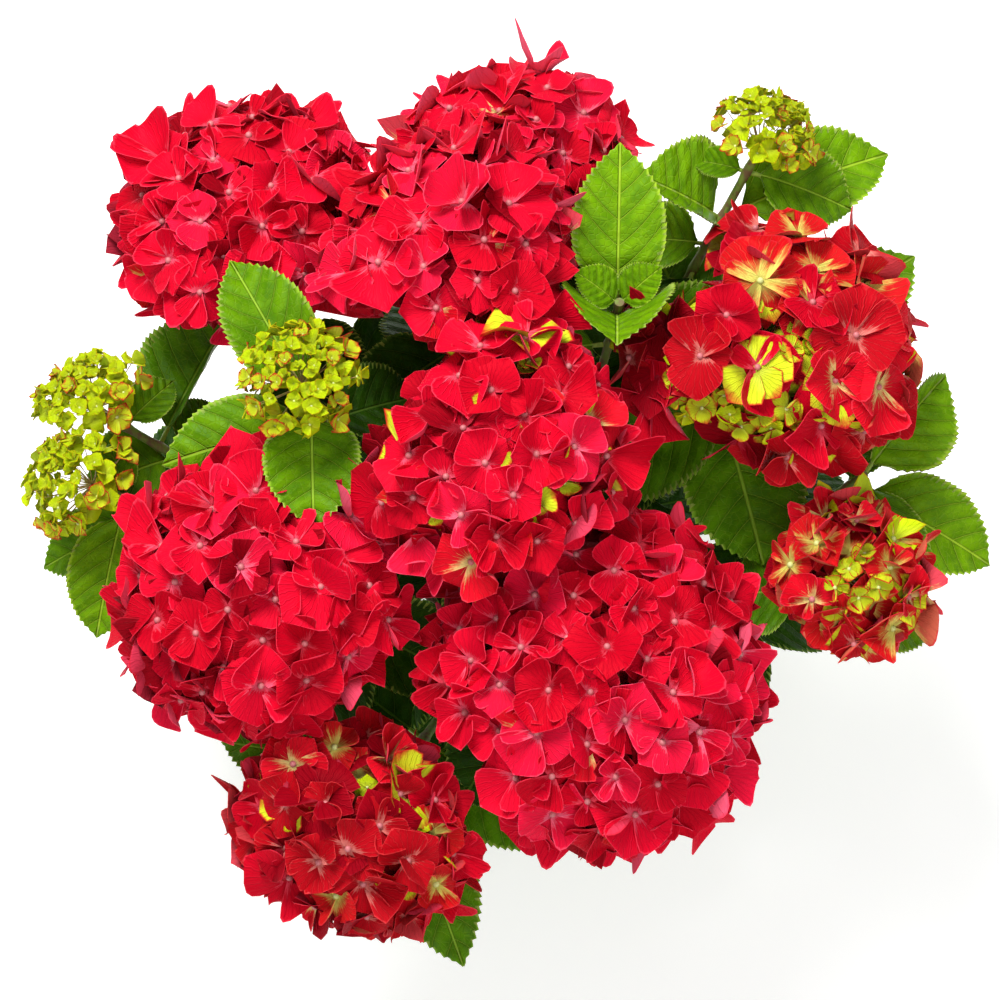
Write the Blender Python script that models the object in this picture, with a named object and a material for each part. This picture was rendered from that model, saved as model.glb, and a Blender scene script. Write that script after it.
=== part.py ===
"""A mophead hydrangea shrub in flower, rooted in the ground, 0.6 m across and 0.52 m tall.

A short woody stem stands on its flat cut at ground level. Fifteen boughs rise from the top of
the stem, and each one ends where it enters a mass of its own. A mass is the shoot's upper stalk
with its leaves, and on thirteen of the shoots a domed head of florets: six red heads, three
half-ripe ones and four lime ones. Two shoots carry leaves alone.

Metres, +Z up. The origin is the middle of the flat cut. -Y is the front of the shrub.
"""
import math
import random
from dataclasses import dataclass, field

import bmesh
import bpy
from mathutils import Matrix, Vector
from mathutils.bvhtree import BVHTree

UP = Vector((0.0, 0.0, 1.0))
SEED = 11

# Clear gap where one solid meets the next, and the wider one kept round leaves and florets
GAP = 0.0003
CLEARANCE = 0.0008

# Woody stem, from its flat cut up to the flat top that the boughs stand on
STEM_HEIGHT = 0.045
STEM_FOOT_RADIUS = 0.048
STEM_WAIST_RADIUS = 0.033
STEM_TOP_RADIUS = 0.036
STEM_LEAN = 0.003
STEM_SIDES = 25
STEM_RING_SHARES = (0.0, 0.14, 0.32, 0.58, 0.82, 0.94, 1.0)
STEM_EDGE_ROUND = {0.94: 0.995, 1.0: 0.955}
ROOT_RIDGES = 5
ROOT_RIDGE_HEIGHT = 0.10

# Boughs: two rings of feet on the stem round a middle one, and the taper up to the heads
INNER_RING = 0.0125
OUTER_RING = 0.0265
BOUGH_FOOT_RADIUS = 0.0047
BOUGH_END_RADIUS = 0.0036
STALK_END_RADIUS = 0.0026
BOUGH_SHARE = 0.36
FIRST_RISE = 0.15
LAST_PULL = 0.13
BOUGH_SIDES = 6
BOUGH_RINGS = 7
STALK_SIDES = 5
STALK_RINGS = 7
LINE_STEPS = 60

# Flower heads: domes of florets round a smaller core
DOME_HEIGHT = 0.80
DOME_UNDERSIDE = 0.42
DOME_LOWEST_ANGLE = math.radians(104)
CORE_DEPTH = 0.30
CORE_SEGMENTS = 10
CORE_RINGS = 6
HEAD_SPACING = 0.0015

# Florets: four lobes, and a point that is sunk in the core
NOTCH_SHARE = 0.60
DISH_SHARE = 0.16
ROOT_SHARE = 0.35
FLORET_TILT = math.radians(13)
FLORET_SIZE_RANGE = (0.92, 1.08)
PLANE_MARGIN = 0.4

# Leaves: a stalk, then an ovate blade folded along its midrib and arching down to the tip
LEAF_THICKNESS = 0.0018
LEAF_STALK_RADIUS = 0.0015
LEAF_STALK_SHARE = 0.16
LEAF_BLADE_SECTIONS = ((0.40, 1.0), (0.72, 0.74))
LEAF_FOLD = math.radians(16)
LEAF_ARCH = math.radians(34)
LEAF_ROOT_FACES = 4
PAIR_STAGGER = 0.0012
LOWEST_LEAF = 0.012

# Lower leaves, in pairs down the stalk, each pair square to the one above
LOWER_PAIR_STEP = 0.045
LOWER_LEAF_LENGTH = 0.098
LOWER_LEAF_WIDTH = 0.060
LOWER_LEAF_PITCH = -12
LOWER_LEAF_RANGE = (0.85, 1.15)
LOWER_LEAF_SWING = 14
LOWER_LEAF_TURNS = (0, 30, -30, 60, -60)

# Slope of the light that falls through the crown, from above and a little in front
LIGHT_SLOPE = 0.325

# Slots that every piece of a mass shares: green stalk, leaf and petal
STALK, LEAF, PETAL = 0, 1, 2
COLOURS = {
    "bark": (0.115, 0.080, 0.045),
    "stalk": (0.20, 0.24, 0.05),
    "leaf": (0.13, 0.30, 0.02),
    "red": (0.62, 0.010, 0.020),
    "half_ripe": (0.50, 0.08, 0.015),
    "lime": (0.48, 0.46, 0.02),
}


@dataclass
class Leaf:
    """One leaf: how far below the head's middle it sits, where it points, and its size."""

    drop: float
    bearing: float
    length: float
    width: float
    pitch: float = 8.0
    roll: float = 0.0


@dataclass
class Shoot:
    """A bough with its mass: the head's middle, radius and lean, its foot on the stem, its leaves."""

    name: str
    kind: str
    place: tuple
    radius: float
    lean: float
    ring: float
    foot: float
    floret: float
    leaves: tuple
    stretch: float = 1.0
    turn: float = 0.0
    lower_pairs: int = 3


# The fifteen shoots, set by hand as real sizes, in metres and degrees
SHOOTS = (
    Shoot("back_left", "red", (-0.159, 0.191, 0.385), 0.084, 20, OUTER_RING, 124, 0.052, (
        Leaf(0.070, 300, 0.075, 0.050),
        Leaf(0.070, 60, 0.070, 0.048)), stretch=1.04, turn=140),
    Shoot("back", "red", (0.011, 0.229, 0.375), 0.075, 18, OUTER_RING, 88, 0.052, (
        Leaf(0.066, 140, 0.112, 0.050),
        Leaf(0.066, 335, 0.080, 0.052))),
    Shoot("centre_back", "red", (-0.028, 0.136, 0.455), 0.078, 8, INNER_RING, 98, 0.052, (
        Leaf(0.075, 215, 0.085, 0.056),
        Leaf(0.075, 30, 0.080, 0.054)), stretch=1.09, turn=52),
    Shoot("centre", "red", (-0.006, 0.016, 0.458), 0.081, 4, 0.0, 0, 0.051, (
        Leaf(0.080, 140, 0.100, 0.062),
        Leaf(0.080, 350, 0.095, 0.060)), stretch=1.12, turn=78),
    Shoot("left", "red", (-0.150, -0.053, 0.385), 0.092, 16, INNER_RING, 222, 0.054, (
        Leaf(0.085, 335, 0.105, 0.062),
        Leaf(0.085, 120, 0.080, 0.054))),
    Shoot("front", "red", (0.058, -0.106, 0.375), 0.107, 12, INNER_RING, 300, 0.056, (
        Leaf(0.095, 172, 0.118, 0.066),
        Leaf(0.095, 352, 0.130, 0.060),
        Leaf(0.120, 235, 0.110, 0.064)), stretch=1.06, turn=98),
    Shoot("front_left", "half_ripe", (-0.093, -0.187, 0.325), 0.063, 24, OUTER_RING, 247, 0.048, (
        Leaf(0.050, 188, 0.090, 0.048),
        Leaf(0.050, 8, 0.060, 0.040),
        Leaf(0.085, 291, 0.128, 0.056),
        Leaf(0.085, 165, 0.118, 0.052),
        Leaf(0.140, 322, 0.110, 0.066),
        Leaf(0.140, 142, 0.090, 0.056)), stretch=1.26, turn=-40),
    Shoot("back_right", "half_ripe", (0.165, 0.101, 0.400), 0.085, 16, OUTER_RING, 34, 0.053, (
        Leaf(0.060, 285, 0.106, 0.078),
        Leaf(0.060, 110, 0.132, 0.064, pitch=14),
        Leaf(0.042, 40, 0.162, 0.068),
        Leaf(0.042, 214, 0.108, 0.066, pitch=-2)), stretch=1.18, turn=8),
    Shoot("right", "half_ripe", (0.220, -0.036, 0.355), 0.050, 24, OUTER_RING, 344, 0.040, (
        Leaf(0.042, 176, 0.048, 0.064, pitch=-4),
        Leaf(0.042, 348, 0.092, 0.054, pitch=-4))),
    Shoot("lime_inner", "lime", (-0.121, 0.050, 0.480), 0.038, 5, INNER_RING, 162, 0.026, (
        Leaf(0.034, 119, 0.106, 0.054, pitch=22),
        Leaf(0.034, 272, 0.081, 0.059, pitch=22),
        Leaf(0.060, 195, 0.102, 0.056, pitch=16, roll=20),
        Leaf(0.060, 22, 0.068, 0.052, pitch=0)), lower_pairs=2),
    Shoot("lime_left_back", "lime", (-0.263, 0.086, 0.337), 0.032, 36, OUTER_RING, 152, 0.026, (
        Leaf(0.058, 65, 0.110, 0.060, pitch=10, roll=34),
        Leaf(0.074, 200, 0.064, 0.056, pitch=10),
        Leaf(0.074, 50, 0.048, 0.044, pitch=4),
        Leaf(0.028, 46, 0.044, 0.030, pitch=14)), stretch=1.36, turn=10, lower_pairs=2),
    Shoot("lime_left", "lime", (-0.266, 0.036, 0.330), 0.039, 38, OUTER_RING, 178, 0.027, (
        Leaf(0.030, 257, 0.092, 0.050, pitch=-4),
        Leaf(0.032, 110, 0.040, 0.026, pitch=20),
        Leaf(0.058, 200, 0.088, 0.044, pitch=-4)), lower_pairs=2),
    Shoot("lime_back_right", "lime", (0.168, 0.235, 0.420), 0.035, 42, OUTER_RING, 60, 0.025, (
        Leaf(0.058, 165, 0.066, 0.064, pitch=50, roll=-20),
        Leaf(0.058, 24, 0.120, 0.062, pitch=12),
        Leaf(0.020, 165, 0.036, 0.022, pitch=10),
        Leaf(0.020, 343, 0.072, 0.052, pitch=4),
        Leaf(0.078, 170, 0.052, 0.046, pitch=0),
        Leaf(0.096, 250, 0.070, 0.048, pitch=0)), lower_pairs=2),
    Shoot("leafy_back", "leafy", (0.074, 0.116, 0.440), 0.0, 6, INNER_RING, 34, 0.0, (
        Leaf(0.004, 152, 0.037, 0.027, pitch=48),
        Leaf(0.004, 34, 0.037, 0.027, pitch=48),
        Leaf(0.018, 89, 0.108, 0.058, pitch=46),
        Leaf(0.018, 268, 0.064, 0.068, pitch=70),
        Leaf(0.052, 10, 0.105, 0.060, pitch=4),
        Leaf(0.052, 186, 0.080, 0.052, pitch=4),
        Leaf(0.088, 75, 0.095, 0.058, pitch=0),
        Leaf(0.088, 262, 0.095, 0.058, pitch=0)), lower_pairs=2),
    Shoot("leafy_right", "leafy", (0.232, 0.038, 0.335), 0.0, 20, OUTER_RING, 10, 0.0, (
        Leaf(0.004, 50, 0.086, 0.052, pitch=26, roll=-45),
        Leaf(0.004, 303, 0.080, 0.034, pitch=10, roll=40),
        Leaf(0.020, 333, 0.105, 0.058, pitch=4),
        Leaf(0.020, 78, 0.046, 0.040, pitch=6)), lower_pairs=2),
)


# Limb lines
class Line:
    """A smooth line from a foot to a tip, read by the distance along it."""

    def __init__(self, foot, rise, pull, tip):
        self.points = []
        for i in range(LINE_STEPS + 1):
            t = i / LINE_STEPS
            s = 1.0 - t
            self.points.append(foot * s**3 + rise * 3 * s * s * t + pull * 3 * s * t * t + tip * t**3)
        self.marks = [0.0]
        for start, end in zip(self.points, self.points[1:]):
            self.marks.append(self.marks[-1] + (end - start).length)
        self.length = self.marks[-1]

    def point(self, distance):
        step = next((i for i, mark in enumerate(self.marks[1:]) if mark >= distance), LINE_STEPS - 1)
        share = (distance - self.marks[step]) / (self.marks[step + 1] - self.marks[step])
        return self.points[step].lerp(self.points[step + 1], share)

    def heading(self, distance):
        reach = self.length / LINE_STEPS
        low = self.point(max(0.0, distance - reach))
        high = self.point(min(self.length, distance + reach))
        return (high - low).normalized()


def compass(bearing):
    """Level direction at a bearing in degrees, counted from +X towards +Y."""
    angle = math.radians(bearing)
    return Vector((math.cos(angle), math.sin(angle), 0.0))


def head_axis(shoot):
    """Direction in which the head faces: up, and leaning out from the middle of the shrub."""
    outward = Vector((shoot.place[0], shoot.place[1], 0.0)).normalized()
    lean = math.radians(shoot.lean)
    return outward * math.sin(lean) + UP * math.cos(lean)


def shoot_line(shoot):
    """The line of a bough and its stalk, upright at the foot and along the head's axis at the top."""
    foot = compass(shoot.foot) * shoot.ring + UP * (STEM_HEIGHT + GAP)
    axis = head_axis(shoot)
    top = Vector(shoot.place) - axis * shoot.radius * DOME_UNDERSIDE / 2
    return Line(foot, foot + UP * FIRST_RISE, top - axis * LAST_PULL, top)


# Mesh building
def mesh_from(name, points, faces, slot=STALK):
    mesh = bpy.data.meshes.new(name)
    mesh.from_pydata([tuple(point) for point in points], [], faces)
    for polygon in mesh.polygons:
        polygon.material_index = slot
    return mesh


def rings_mesh(name, points, sides):
    """Closed mesh through rings of points, each with the same number of sides, capped at both ends."""
    faces = [tuple(reversed(range(sides)))]
    for low in range(0, len(points) - sides, sides):
        for i in range(sides):
            j = (i + 1) % sides
            faces.append((low + i, low + j, low + sides + j, low + sides + i))
    faces.append(tuple(range(len(points) - sides, len(points))))
    return mesh_from(name, points, faces)


def frame_on(heading):
    """Two directions square to a heading."""
    across = heading.cross(Vector((0.31, 0.95, 0.05))).normalized()
    return across, heading.cross(across).normalized()


def limb(name, line, start, end, start_radius, end_radius, rings, sides):
    """A closed limb along a stretch of a line, tapering from its first radius to its last."""
    points = []
    for ring in range(rings):
        share = ring / (rings - 1)
        distance = start + (end - start) * share
        radius = start_radius + (end_radius - start_radius) * share
        middle = line.point(distance)
        across, over = frame_on(line.heading(distance))
        for i in range(sides):
            angle = 2 * math.pi * i / sides
            points.append(middle + (across * math.cos(angle) + over * math.sin(angle)) * radius)
    return rings_mesh(name, points, sides)


# Woody stem
def stem_radius(share, angle):
    """Radius of the woody stem: flared into root ridges at the ground, widened under the boughs."""
    flare = (1.0 - share) ** 2.4
    radius = STEM_WAIST_RADIUS
    radius += (STEM_FOOT_RADIUS - STEM_WAIST_RADIUS) * flare
    radius += (STEM_TOP_RADIUS - STEM_WAIST_RADIUS) * share**2
    ridges = 1.0 + ROOT_RIDGE_HEIGHT * flare * math.cos(ROOT_RIDGES * angle)
    return radius * ridges * STEM_EDGE_ROUND.get(share, 1.0)


def main_stem():
    """Stem from the flat cut at ground level to its flat top, leaning slightly."""
    points = []
    for share in STEM_RING_SHARES:
        lean = STEM_LEAN * math.sin(math.pi * share)
        for i in range(STEM_SIDES):
            angle = 2 * math.pi * i / STEM_SIDES
            radius = stem_radius(share, angle)
            points.append((radius * math.cos(angle) + lean, radius * math.sin(angle), STEM_HEIGHT * share))
    return rings_mesh("main_stem", points, STEM_SIDES)


# Flower heads
def head_frame(shoot):
    """Matrix from a head's own frame, with its axis along local Z, to the shrub's frame."""
    axis = head_axis(shoot)
    long_way = compass(shoot.turn)
    long_way = (long_way - axis * long_way.dot(axis)).normalized()
    rotation = Matrix((long_way, axis.cross(long_way), axis)).transposed().to_4x4()
    return Matrix.Translation(shoot.place) @ rotation


def on_dome(shoot, direction, radius):
    """Point of a head's dome in a direction of its own frame, for a dome of the given radius."""
    height = DOME_HEIGHT if direction.z > 0 else DOME_UNDERSIDE
    return Vector((direction.x * radius * shoot.stretch, direction.y * radius, direction.z * radius * height))


def dividing_planes(shoot, heads):
    """Planes that part a head from its neighbours, as pairs of direction and distance from its middle."""
    for other in heads:
        if other is shoot:
            continue
        way = Vector(other.place) - Vector(shoot.place)
        apart = way.length
        distance = (apart**2 + shoot.radius**2 - other.radius**2) / (2 * apart)
        if distance < shoot.radius * shoot.stretch:
            yield way / apart, distance - HEAD_SPACING


def dome_core(shoot, heads):
    """Core of a head, pressed flat against the planes that part it from its neighbours."""
    core = bmesh.new()
    bmesh.ops.create_uvsphere(core, u_segments=CORE_SEGMENTS, v_segments=CORE_RINGS, radius=1.0)
    frame = head_frame(shoot)
    middle = Vector(shoot.place)
    for vertex in core.verts:
        vertex.co = frame @ on_dome(shoot, vertex.co, shoot.radius * (1.0 - CORE_DEPTH))
    for way, distance in dividing_planes(shoot, heads):
        for vertex in core.verts:
            beyond = (vertex.co - middle).dot(way) - distance
            if beyond > 0:
                vertex.co -= way * beyond
    for face in core.faces:
        face.material_index = PETAL
    mesh = bpy.data.meshes.new("core")
    core.to_mesh(mesh)
    core.free()
    return mesh


def floret_places(shoot):
    """Golden-angle spiral of floret middles over the dome, with the way that each one faces."""
    lowest = math.cos(DOME_LOWEST_ANGLE)
    area = 2 * math.pi * shoot.radius**2 * shoot.stretch * (1.0 - lowest)
    count = round(area / shoot.floret**2)
    golden = math.pi * (3.0 - math.sqrt(5.0))
    frame = head_frame(shoot)
    for i in range(count):
        level = 1.0 - (1.0 - lowest) * (i + 0.5) / count
        flat = math.sqrt(1.0 - level * level)
        direction = Vector((flat * math.cos(golden * i), flat * math.sin(golden * i), level))
        normal = Vector((direction.x / shoot.stretch, direction.y, direction.z / DOME_HEIGHT)).normalized()
        yield frame @ on_dome(shoot, direction, shoot.radius), frame.to_3x3() @ normal


def floret(middle, axis, spin, radius, depth):
    """Four-lobed floret: a shallow dish on top, tapering to the point that is sunk in the core."""
    across, over = frame_on(axis)
    points = [middle - axis * radius * DISH_SHARE, middle - axis * depth]
    for i in range(8):
        angle = spin + math.pi * i / 4
        reach = radius * (NOTCH_SHARE if i % 2 else 1.0)
        points.append(middle + (across * math.cos(angle) + over * math.sin(angle)) * reach)
    faces = []
    for i in range(8):
        j = (i + 1) % 8
        faces.append((0, 2 + i, 2 + j))
        faces.append((1, 2 + j, 2 + i))
    return mesh_from("floret", points, faces, PETAL)


# Leaves
def leaf_sections(foot, spec):
    """Midrib points of a leaf out to its tip, each with the way that it heads there."""
    pitch = math.radians(spec.pitch)
    level = compass(spec.bearing)
    middle = foot
    last = 0.0
    for share in [LEAF_STALK_SHARE] + [section[0] for section in LEAF_BLADE_SECTIONS] + [1.0]:
        slope = pitch - LEAF_ARCH * (share + last) / 2
        heading = level * math.cos(slope) + UP * math.sin(slope)
        middle = middle + heading * spec.length * (share - last)
        last = share
        yield middle, heading


def leaf(foot, spec):
    """Thin closed leaf: a stalk section, folded blade sections, and a point at either end."""
    *sections, (tip_point, _) = leaf_sections(foot, spec)
    half_widths = [LEAF_STALK_RADIUS] + [spec.width / 2 * share for _, share in LEAF_BLADE_SECTIONS]
    points = [foot]
    for i, ((middle, heading), half) in enumerate(zip(sections, half_widths)):
        turned = Matrix.Rotation(math.radians(spec.roll), 3, heading)
        across = turned @ heading.cross(UP).normalized()
        over = across.cross(heading).normalized()
        lift = half * math.tan(LEAF_FOLD) if i else 0.0
        thick = LEAF_THICKNESS / 2 if i else LEAF_STALK_RADIUS
        points += [
            middle - across * half + over * lift,
            middle - over * thick,
            middle + across * half + over * lift,
            middle + over * thick]
    points.append(tip_point)
    tip = len(points) - 1
    faces = [(0, 1 + (i + 1) % 4, 1 + i) for i in range(4)]
    for low in range(1, tip - 4, 4):
        for i in range(4):
            j = (i + 1) % 4
            faces.append((low + i, low + j, low + 4 + j, low + 4 + i))
    faces += [(tip - 4 + i, tip - 4 + (i + 1) % 4, tip) for i in range(4)]
    return mesh_from("leaf", points, faces, LEAF)


# Keeping every mass to its own space
def swollen_tree(mesh, root_faces=0):
    """Search tree of a mesh grown by the clearance, without the first faces, which are its root."""
    points = [vertex.co + vertex.normal * CLEARANCE for vertex in mesh.vertices]
    faces = [tuple(polygon.vertices) for polygon in mesh.polygons][root_faces:]
    return BVHTree.FromPolygons(points, faces)


@dataclass
class Mass:
    """A shoot as it is put together: its line, its stalk, and the pieces it has so far."""

    shoot: Shoot
    line: Line
    stalk: bpy.types.Mesh = None
    pieces: list = field(default_factory=list)
    trees: list = field(default_factory=list)
    leaf_trees: list = field(default_factory=list)

    @property
    def split(self):
        """Distance along the line at which the bough ends and the stalk starts."""
        return self.line.length * BOUGH_SHARE


def offer(mass, masses, mesh, root_faces=0, is_leaf=False):
    """Add a leaf or floret to a mass, but only if it touches no other mass and no leaf of its own."""
    whole = swollen_tree(mesh)
    blade = swollen_tree(mesh, root_faces) if root_faces else whole
    others = (tree for other in masses if other is not mass for tree in other.trees)
    if any(whole.overlap(tree) for tree in others):
        return False
    if any(blade.overlap(tree) for tree in mass.leaf_trees):
        return False
    mass.pieces.append(mesh)
    mass.trees.append(whole)
    if is_leaf:
        mass.leaf_trees.append(blade)
    return True


def shaded(point, heads):
    """Whether a point lies under a head, when it is followed up to the head against the light."""
    for head in heads:
        across = point.x - head.place[0]
        along = point.y - (head.place[2] - point.z) * LIGHT_SLOPE - head.place[1]
        if math.hypot(across, along) < head.radius:
            return True
    return False


def add_shown_leaves(mass, masses):
    """The leaves that show, two to a node, the second a little lower on the stalk than the first."""
    for i, spec in enumerate(mass.shoot.leaves):
        foot = mass.line.point(mass.line.length - spec.drop - PAIR_STAGGER * (i % 2))
        offer(mass, masses, leaf(foot, spec), LEAF_ROOT_FACES, is_leaf=True)


def add_lower_leaves(mass, masses, heads, rng):
    """Pairs of leaves further down the stalk, which stay in the shade of the heads."""
    shoot = mass.shoot
    lowest_shown = max(spec.drop for spec in shoot.leaves)
    for pair in range(1, shoot.lower_pairs + 1):
        for side in (0, 1):
            bearing = shoot.leaves[0].bearing + 90 * (pair % 2) + 180 * side
            bearing += rng.uniform(-LOWER_LEAF_SWING, LOWER_LEAF_SWING)
            length = LOWER_LEAF_LENGTH * rng.uniform(*LOWER_LEAF_RANGE)
            drop = lowest_shown + LOWER_PAIR_STEP * pair + PAIR_STAGGER * side
            distance = mass.line.length - drop
            if distance < mass.split + LOWEST_LEAF:
                continue
            foot = mass.line.point(distance)
            for turn in LOWER_LEAF_TURNS:
                spec = Leaf(drop, bearing + turn, length, LOWER_LEAF_WIDTH, pitch=LOWER_LEAF_PITCH)
                if not shaded(foot + compass(spec.bearing) * length, heads):
                    continue
                if offer(mass, masses, leaf(foot, spec), LEAF_ROOT_FACES, is_leaf=True):
                    break


def add_florets(mass, masses, heads, rng):
    """Florets all over the dome, apart from those that would cross into a neighbour's space."""
    shoot = mass.shoot
    middle = Vector(shoot.place)
    planes = list(dividing_planes(shoot, heads))
    depth = shoot.radius * CORE_DEPTH * (1.0 + ROOT_SHARE)
    for place, normal in floret_places(shoot):
        radius = shoot.floret / 2 * rng.uniform(*FLORET_SIZE_RANGE)
        tilt = Matrix.Rotation(rng.uniform(-FLORET_TILT, FLORET_TILT), 3, frame_on(normal)[0])
        spin = rng.uniform(0, math.pi / 2)
        if any((place - middle).dot(way) > distance - radius * PLANE_MARGIN for way, distance in planes):
            continue
        offer(mass, masses, floret(place, tilt @ normal, spin, radius, depth))


# Objects
def material(name, colour, roughness):
    made = bpy.data.materials.new(name)
    made.use_nodes = True
    shader = made.node_tree.nodes["Principled BSDF"]
    shader.inputs["Base Color"].default_value = (*colour, 1.0)
    shader.inputs["Roughness"].default_value = roughness
    shader.inputs["Metallic"].default_value = 0.0
    made.diffuse_color = (*colour, 1.0)
    return made


def place_object(name, mesh, materials, collection=None):
    for made in materials:
        mesh.materials.append(made)
    thing = bpy.data.objects.new(name, mesh)
    (collection or bpy.context.scene.collection).objects.link(thing)
    return thing


def shells_of(work):
    """Lists of faces that hang together, the smallest list first."""
    shells = []
    seen = set()
    for start in work.faces:
        if start in seen:
            continue
        seen.add(start)
        todo = [start]
        shell = []
        while todo:
            face = todo.pop()
            shell.append(face)
            for near in {other for edge in face.edges for other in edge.link_faces} - seen:
                seen.add(near)
                todo.append(near)
        shells.append(shell)
    return sorted(shells, key=len)


def keep_main_body(mesh):
    """Drop every shell but the largest: loose scraps, and the walls of sealed hollows."""
    work = bmesh.new()
    work.from_mesh(mesh)
    loose = [face for shell in shells_of(work)[:-1] for face in shell]
    bmesh.ops.delete(work, geom=loose, context="FACES")
    work.to_mesh(mesh)
    work.free()


def join_mass(mass, materials):
    """Fuse a mass, its stalk, core, leaves and florets, by one Boolean union on a collection."""
    kind = "leaves" if mass.shoot.kind == "leafy" else "flowers"
    name = f"{kind}_{mass.shoot.name}"
    body = place_object(name, mass.stalk, materials)
    group = bpy.data.collections.new(f"{name}_pieces")
    bpy.context.scene.collection.children.link(group)
    for piece in mass.pieces:
        place_object("piece", piece, materials, group)
    union = body.modifiers.new("join", "BOOLEAN")
    union.operation = "UNION"
    union.operand_type = "COLLECTION"
    union.collection = group
    union.solver = "EXACT"
    with bpy.context.temp_override(object=body, active_object=body):
        bpy.ops.object.modifier_apply(modifier=union.name)
    for piece in list(group.objects):
        bpy.data.objects.remove(piece, do_unlink=True)
    bpy.data.collections.remove(group)
    keep_main_body(body.data)


def make_limbs(mass):
    """The bough as an object of its own, and the stalk that carries on from it in the mass."""
    bough = limb("bough", mass.line, 0.0, mass.split,
                 BOUGH_FOOT_RADIUS, BOUGH_END_RADIUS, BOUGH_RINGS, BOUGH_SIDES)
    name = mass.shoot.name
    place_object(f"bough_{name}", bough, [material(f"bark_{name}", COLOURS["bark"], 0.8)])
    mass.stalk = limb("stalk", mass.line, mass.split + GAP, mass.line.length,
                      BOUGH_END_RADIUS, STALK_END_RADIUS, STALK_RINGS, STALK_SIDES)
    mass.trees += [swollen_tree(bough), swollen_tree(mass.stalk)]


def add_core(mass, heads):
    """The core of a head, which the leaves of its own shoot keep clear of too."""
    core = dome_core(mass.shoot, heads)
    mass.pieces.append(core)
    mass.trees.append(swollen_tree(core))
    mass.leaf_trees.append(swollen_tree(core))


def build():
    for old in list(bpy.data.objects):
        bpy.data.objects.remove(old, do_unlink=True)
    place_object("main_stem", main_stem(), [material("stem_bark", COLOURS["bark"], 0.85)])

    masses = [Mass(shoot, shoot_line(shoot)) for shoot in SHOOTS]
    flowering = [mass for mass in masses if mass.shoot.radius > 0]
    heads = [mass.shoot for mass in flowering]
    for mass in masses:
        make_limbs(mass)
    for mass in flowering:
        add_core(mass, heads)
    for mass in masses:
        add_shown_leaves(mass, masses)
    for i, mass in enumerate(flowering):
        del mass.leaf_trees[0]
        add_florets(mass, masses, heads, random.Random(SEED + i))
    for i, mass in enumerate(masses):
        add_lower_leaves(mass, masses, heads, random.Random(SEED * 7 + i))

    for mass in masses:
        name = mass.shoot.name
        petal = COLOURS.get(mass.shoot.kind, COLOURS["leaf"])
        join_mass(mass, [
            material(f"stalk_{name}", COLOURS["stalk"], 0.6),
            material(f"leaf_{name}", COLOURS["leaf"], 0.5),
            material(f"petal_{name}", petal, 0.55)])


build()
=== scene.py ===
"""A mophead hydrangea shrub in flower, seen from above and a little in front.

A short woody stem stands on its flat cut at ground level. Fifteen canes rise from it. Thirteen carry a
domed head of florets: six red, three half-ripe and four lime. Two carry leaves alone. Metres, +Z up.
"""
import math
from dataclasses import dataclass

import bpy
import numpy as np
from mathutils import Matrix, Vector, noise
from mathutils.bvhtree import BVHTree


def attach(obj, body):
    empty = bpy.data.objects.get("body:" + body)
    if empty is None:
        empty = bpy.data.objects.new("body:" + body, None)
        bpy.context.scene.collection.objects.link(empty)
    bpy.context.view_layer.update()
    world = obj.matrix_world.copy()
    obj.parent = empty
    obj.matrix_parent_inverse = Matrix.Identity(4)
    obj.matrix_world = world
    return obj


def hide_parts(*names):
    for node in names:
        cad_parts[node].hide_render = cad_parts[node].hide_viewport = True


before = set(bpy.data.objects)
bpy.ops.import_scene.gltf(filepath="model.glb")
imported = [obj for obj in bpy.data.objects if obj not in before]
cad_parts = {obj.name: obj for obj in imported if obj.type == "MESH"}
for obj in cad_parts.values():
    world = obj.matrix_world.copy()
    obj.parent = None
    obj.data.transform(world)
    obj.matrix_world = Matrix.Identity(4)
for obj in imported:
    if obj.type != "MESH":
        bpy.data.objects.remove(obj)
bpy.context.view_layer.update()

UP = Vector((0.0, 0.0, 1.0))

# Camera
# The photo is taken from the front and high above, 72 degrees over the ground, so the crown
# fills the picture. At the height of the heads the picture is 0.62 m wide.
VIEW_ELEVATION = math.radians(72)
VIEW_DISTANCE = 2.6
VIEW_TARGET = Vector((0.0, 0.0, 0.40))
VIEW_WIDTH = 0.62

camera_data = bpy.data.cameras.new("camera")
camera_data.lens = camera_data.sensor_width * VIEW_DISTANCE / VIEW_WIDTH
camera = bpy.data.objects.new("camera", camera_data)
bpy.context.scene.collection.objects.link(camera)
to_camera = Vector((0.0, -math.cos(VIEW_ELEVATION), math.sin(VIEW_ELEVATION)))
camera.location = VIEW_TARGET + to_camera * VIEW_DISTANCE
camera.rotation_euler = (-to_camera).to_track_quat("-Z", "Y").to_euler()
bpy.context.scene.camera = camera


# Floor and studio light
# A plain white floor, a wide soft light over the back of the shrub, a weaker one from the front,
# and even white surroundings.
FLOOR_WIDTH = 12.0
FLOOR_GLOW = 0.30
SURROUNDINGS = 0.48
KEY_LIGHT = dict(place=(-0.6, 1.0, 2.5), width=1.2, power=84)
FILL_LIGHT = dict(place=(0.5, -1.5, 2.4), width=1.8, power=30)


def add_node(tree, kind, inputs=(), **settings):
    """A shader node with its settings. Each input is a value or another node's output."""
    node = tree.nodes.new(kind)
    for name, value in settings.items():
        setattr(node, name, value)
    for key, value in dict(inputs).items():
        if isinstance(value, bpy.types.NodeSocket):
            tree.links.new(value, node.inputs[key])
        else:
            node.inputs[key].default_value = value
    return node


def plain_finish(name, colour, roughness, specular=0.5):
    """A material and its shader, to which a pattern can be joined."""
    made = bpy.data.materials.new(name)
    made.use_nodes = True
    made.diffuse_color = (*colour, 1.0)
    shader = made.node_tree.nodes["Principled BSDF"]
    shader.inputs["Base Color"].default_value = (*colour, 1.0)
    shader.inputs["Roughness"].default_value = roughness
    shader.inputs["Specular IOR Level"].default_value = specular
    return made, shader


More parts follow.
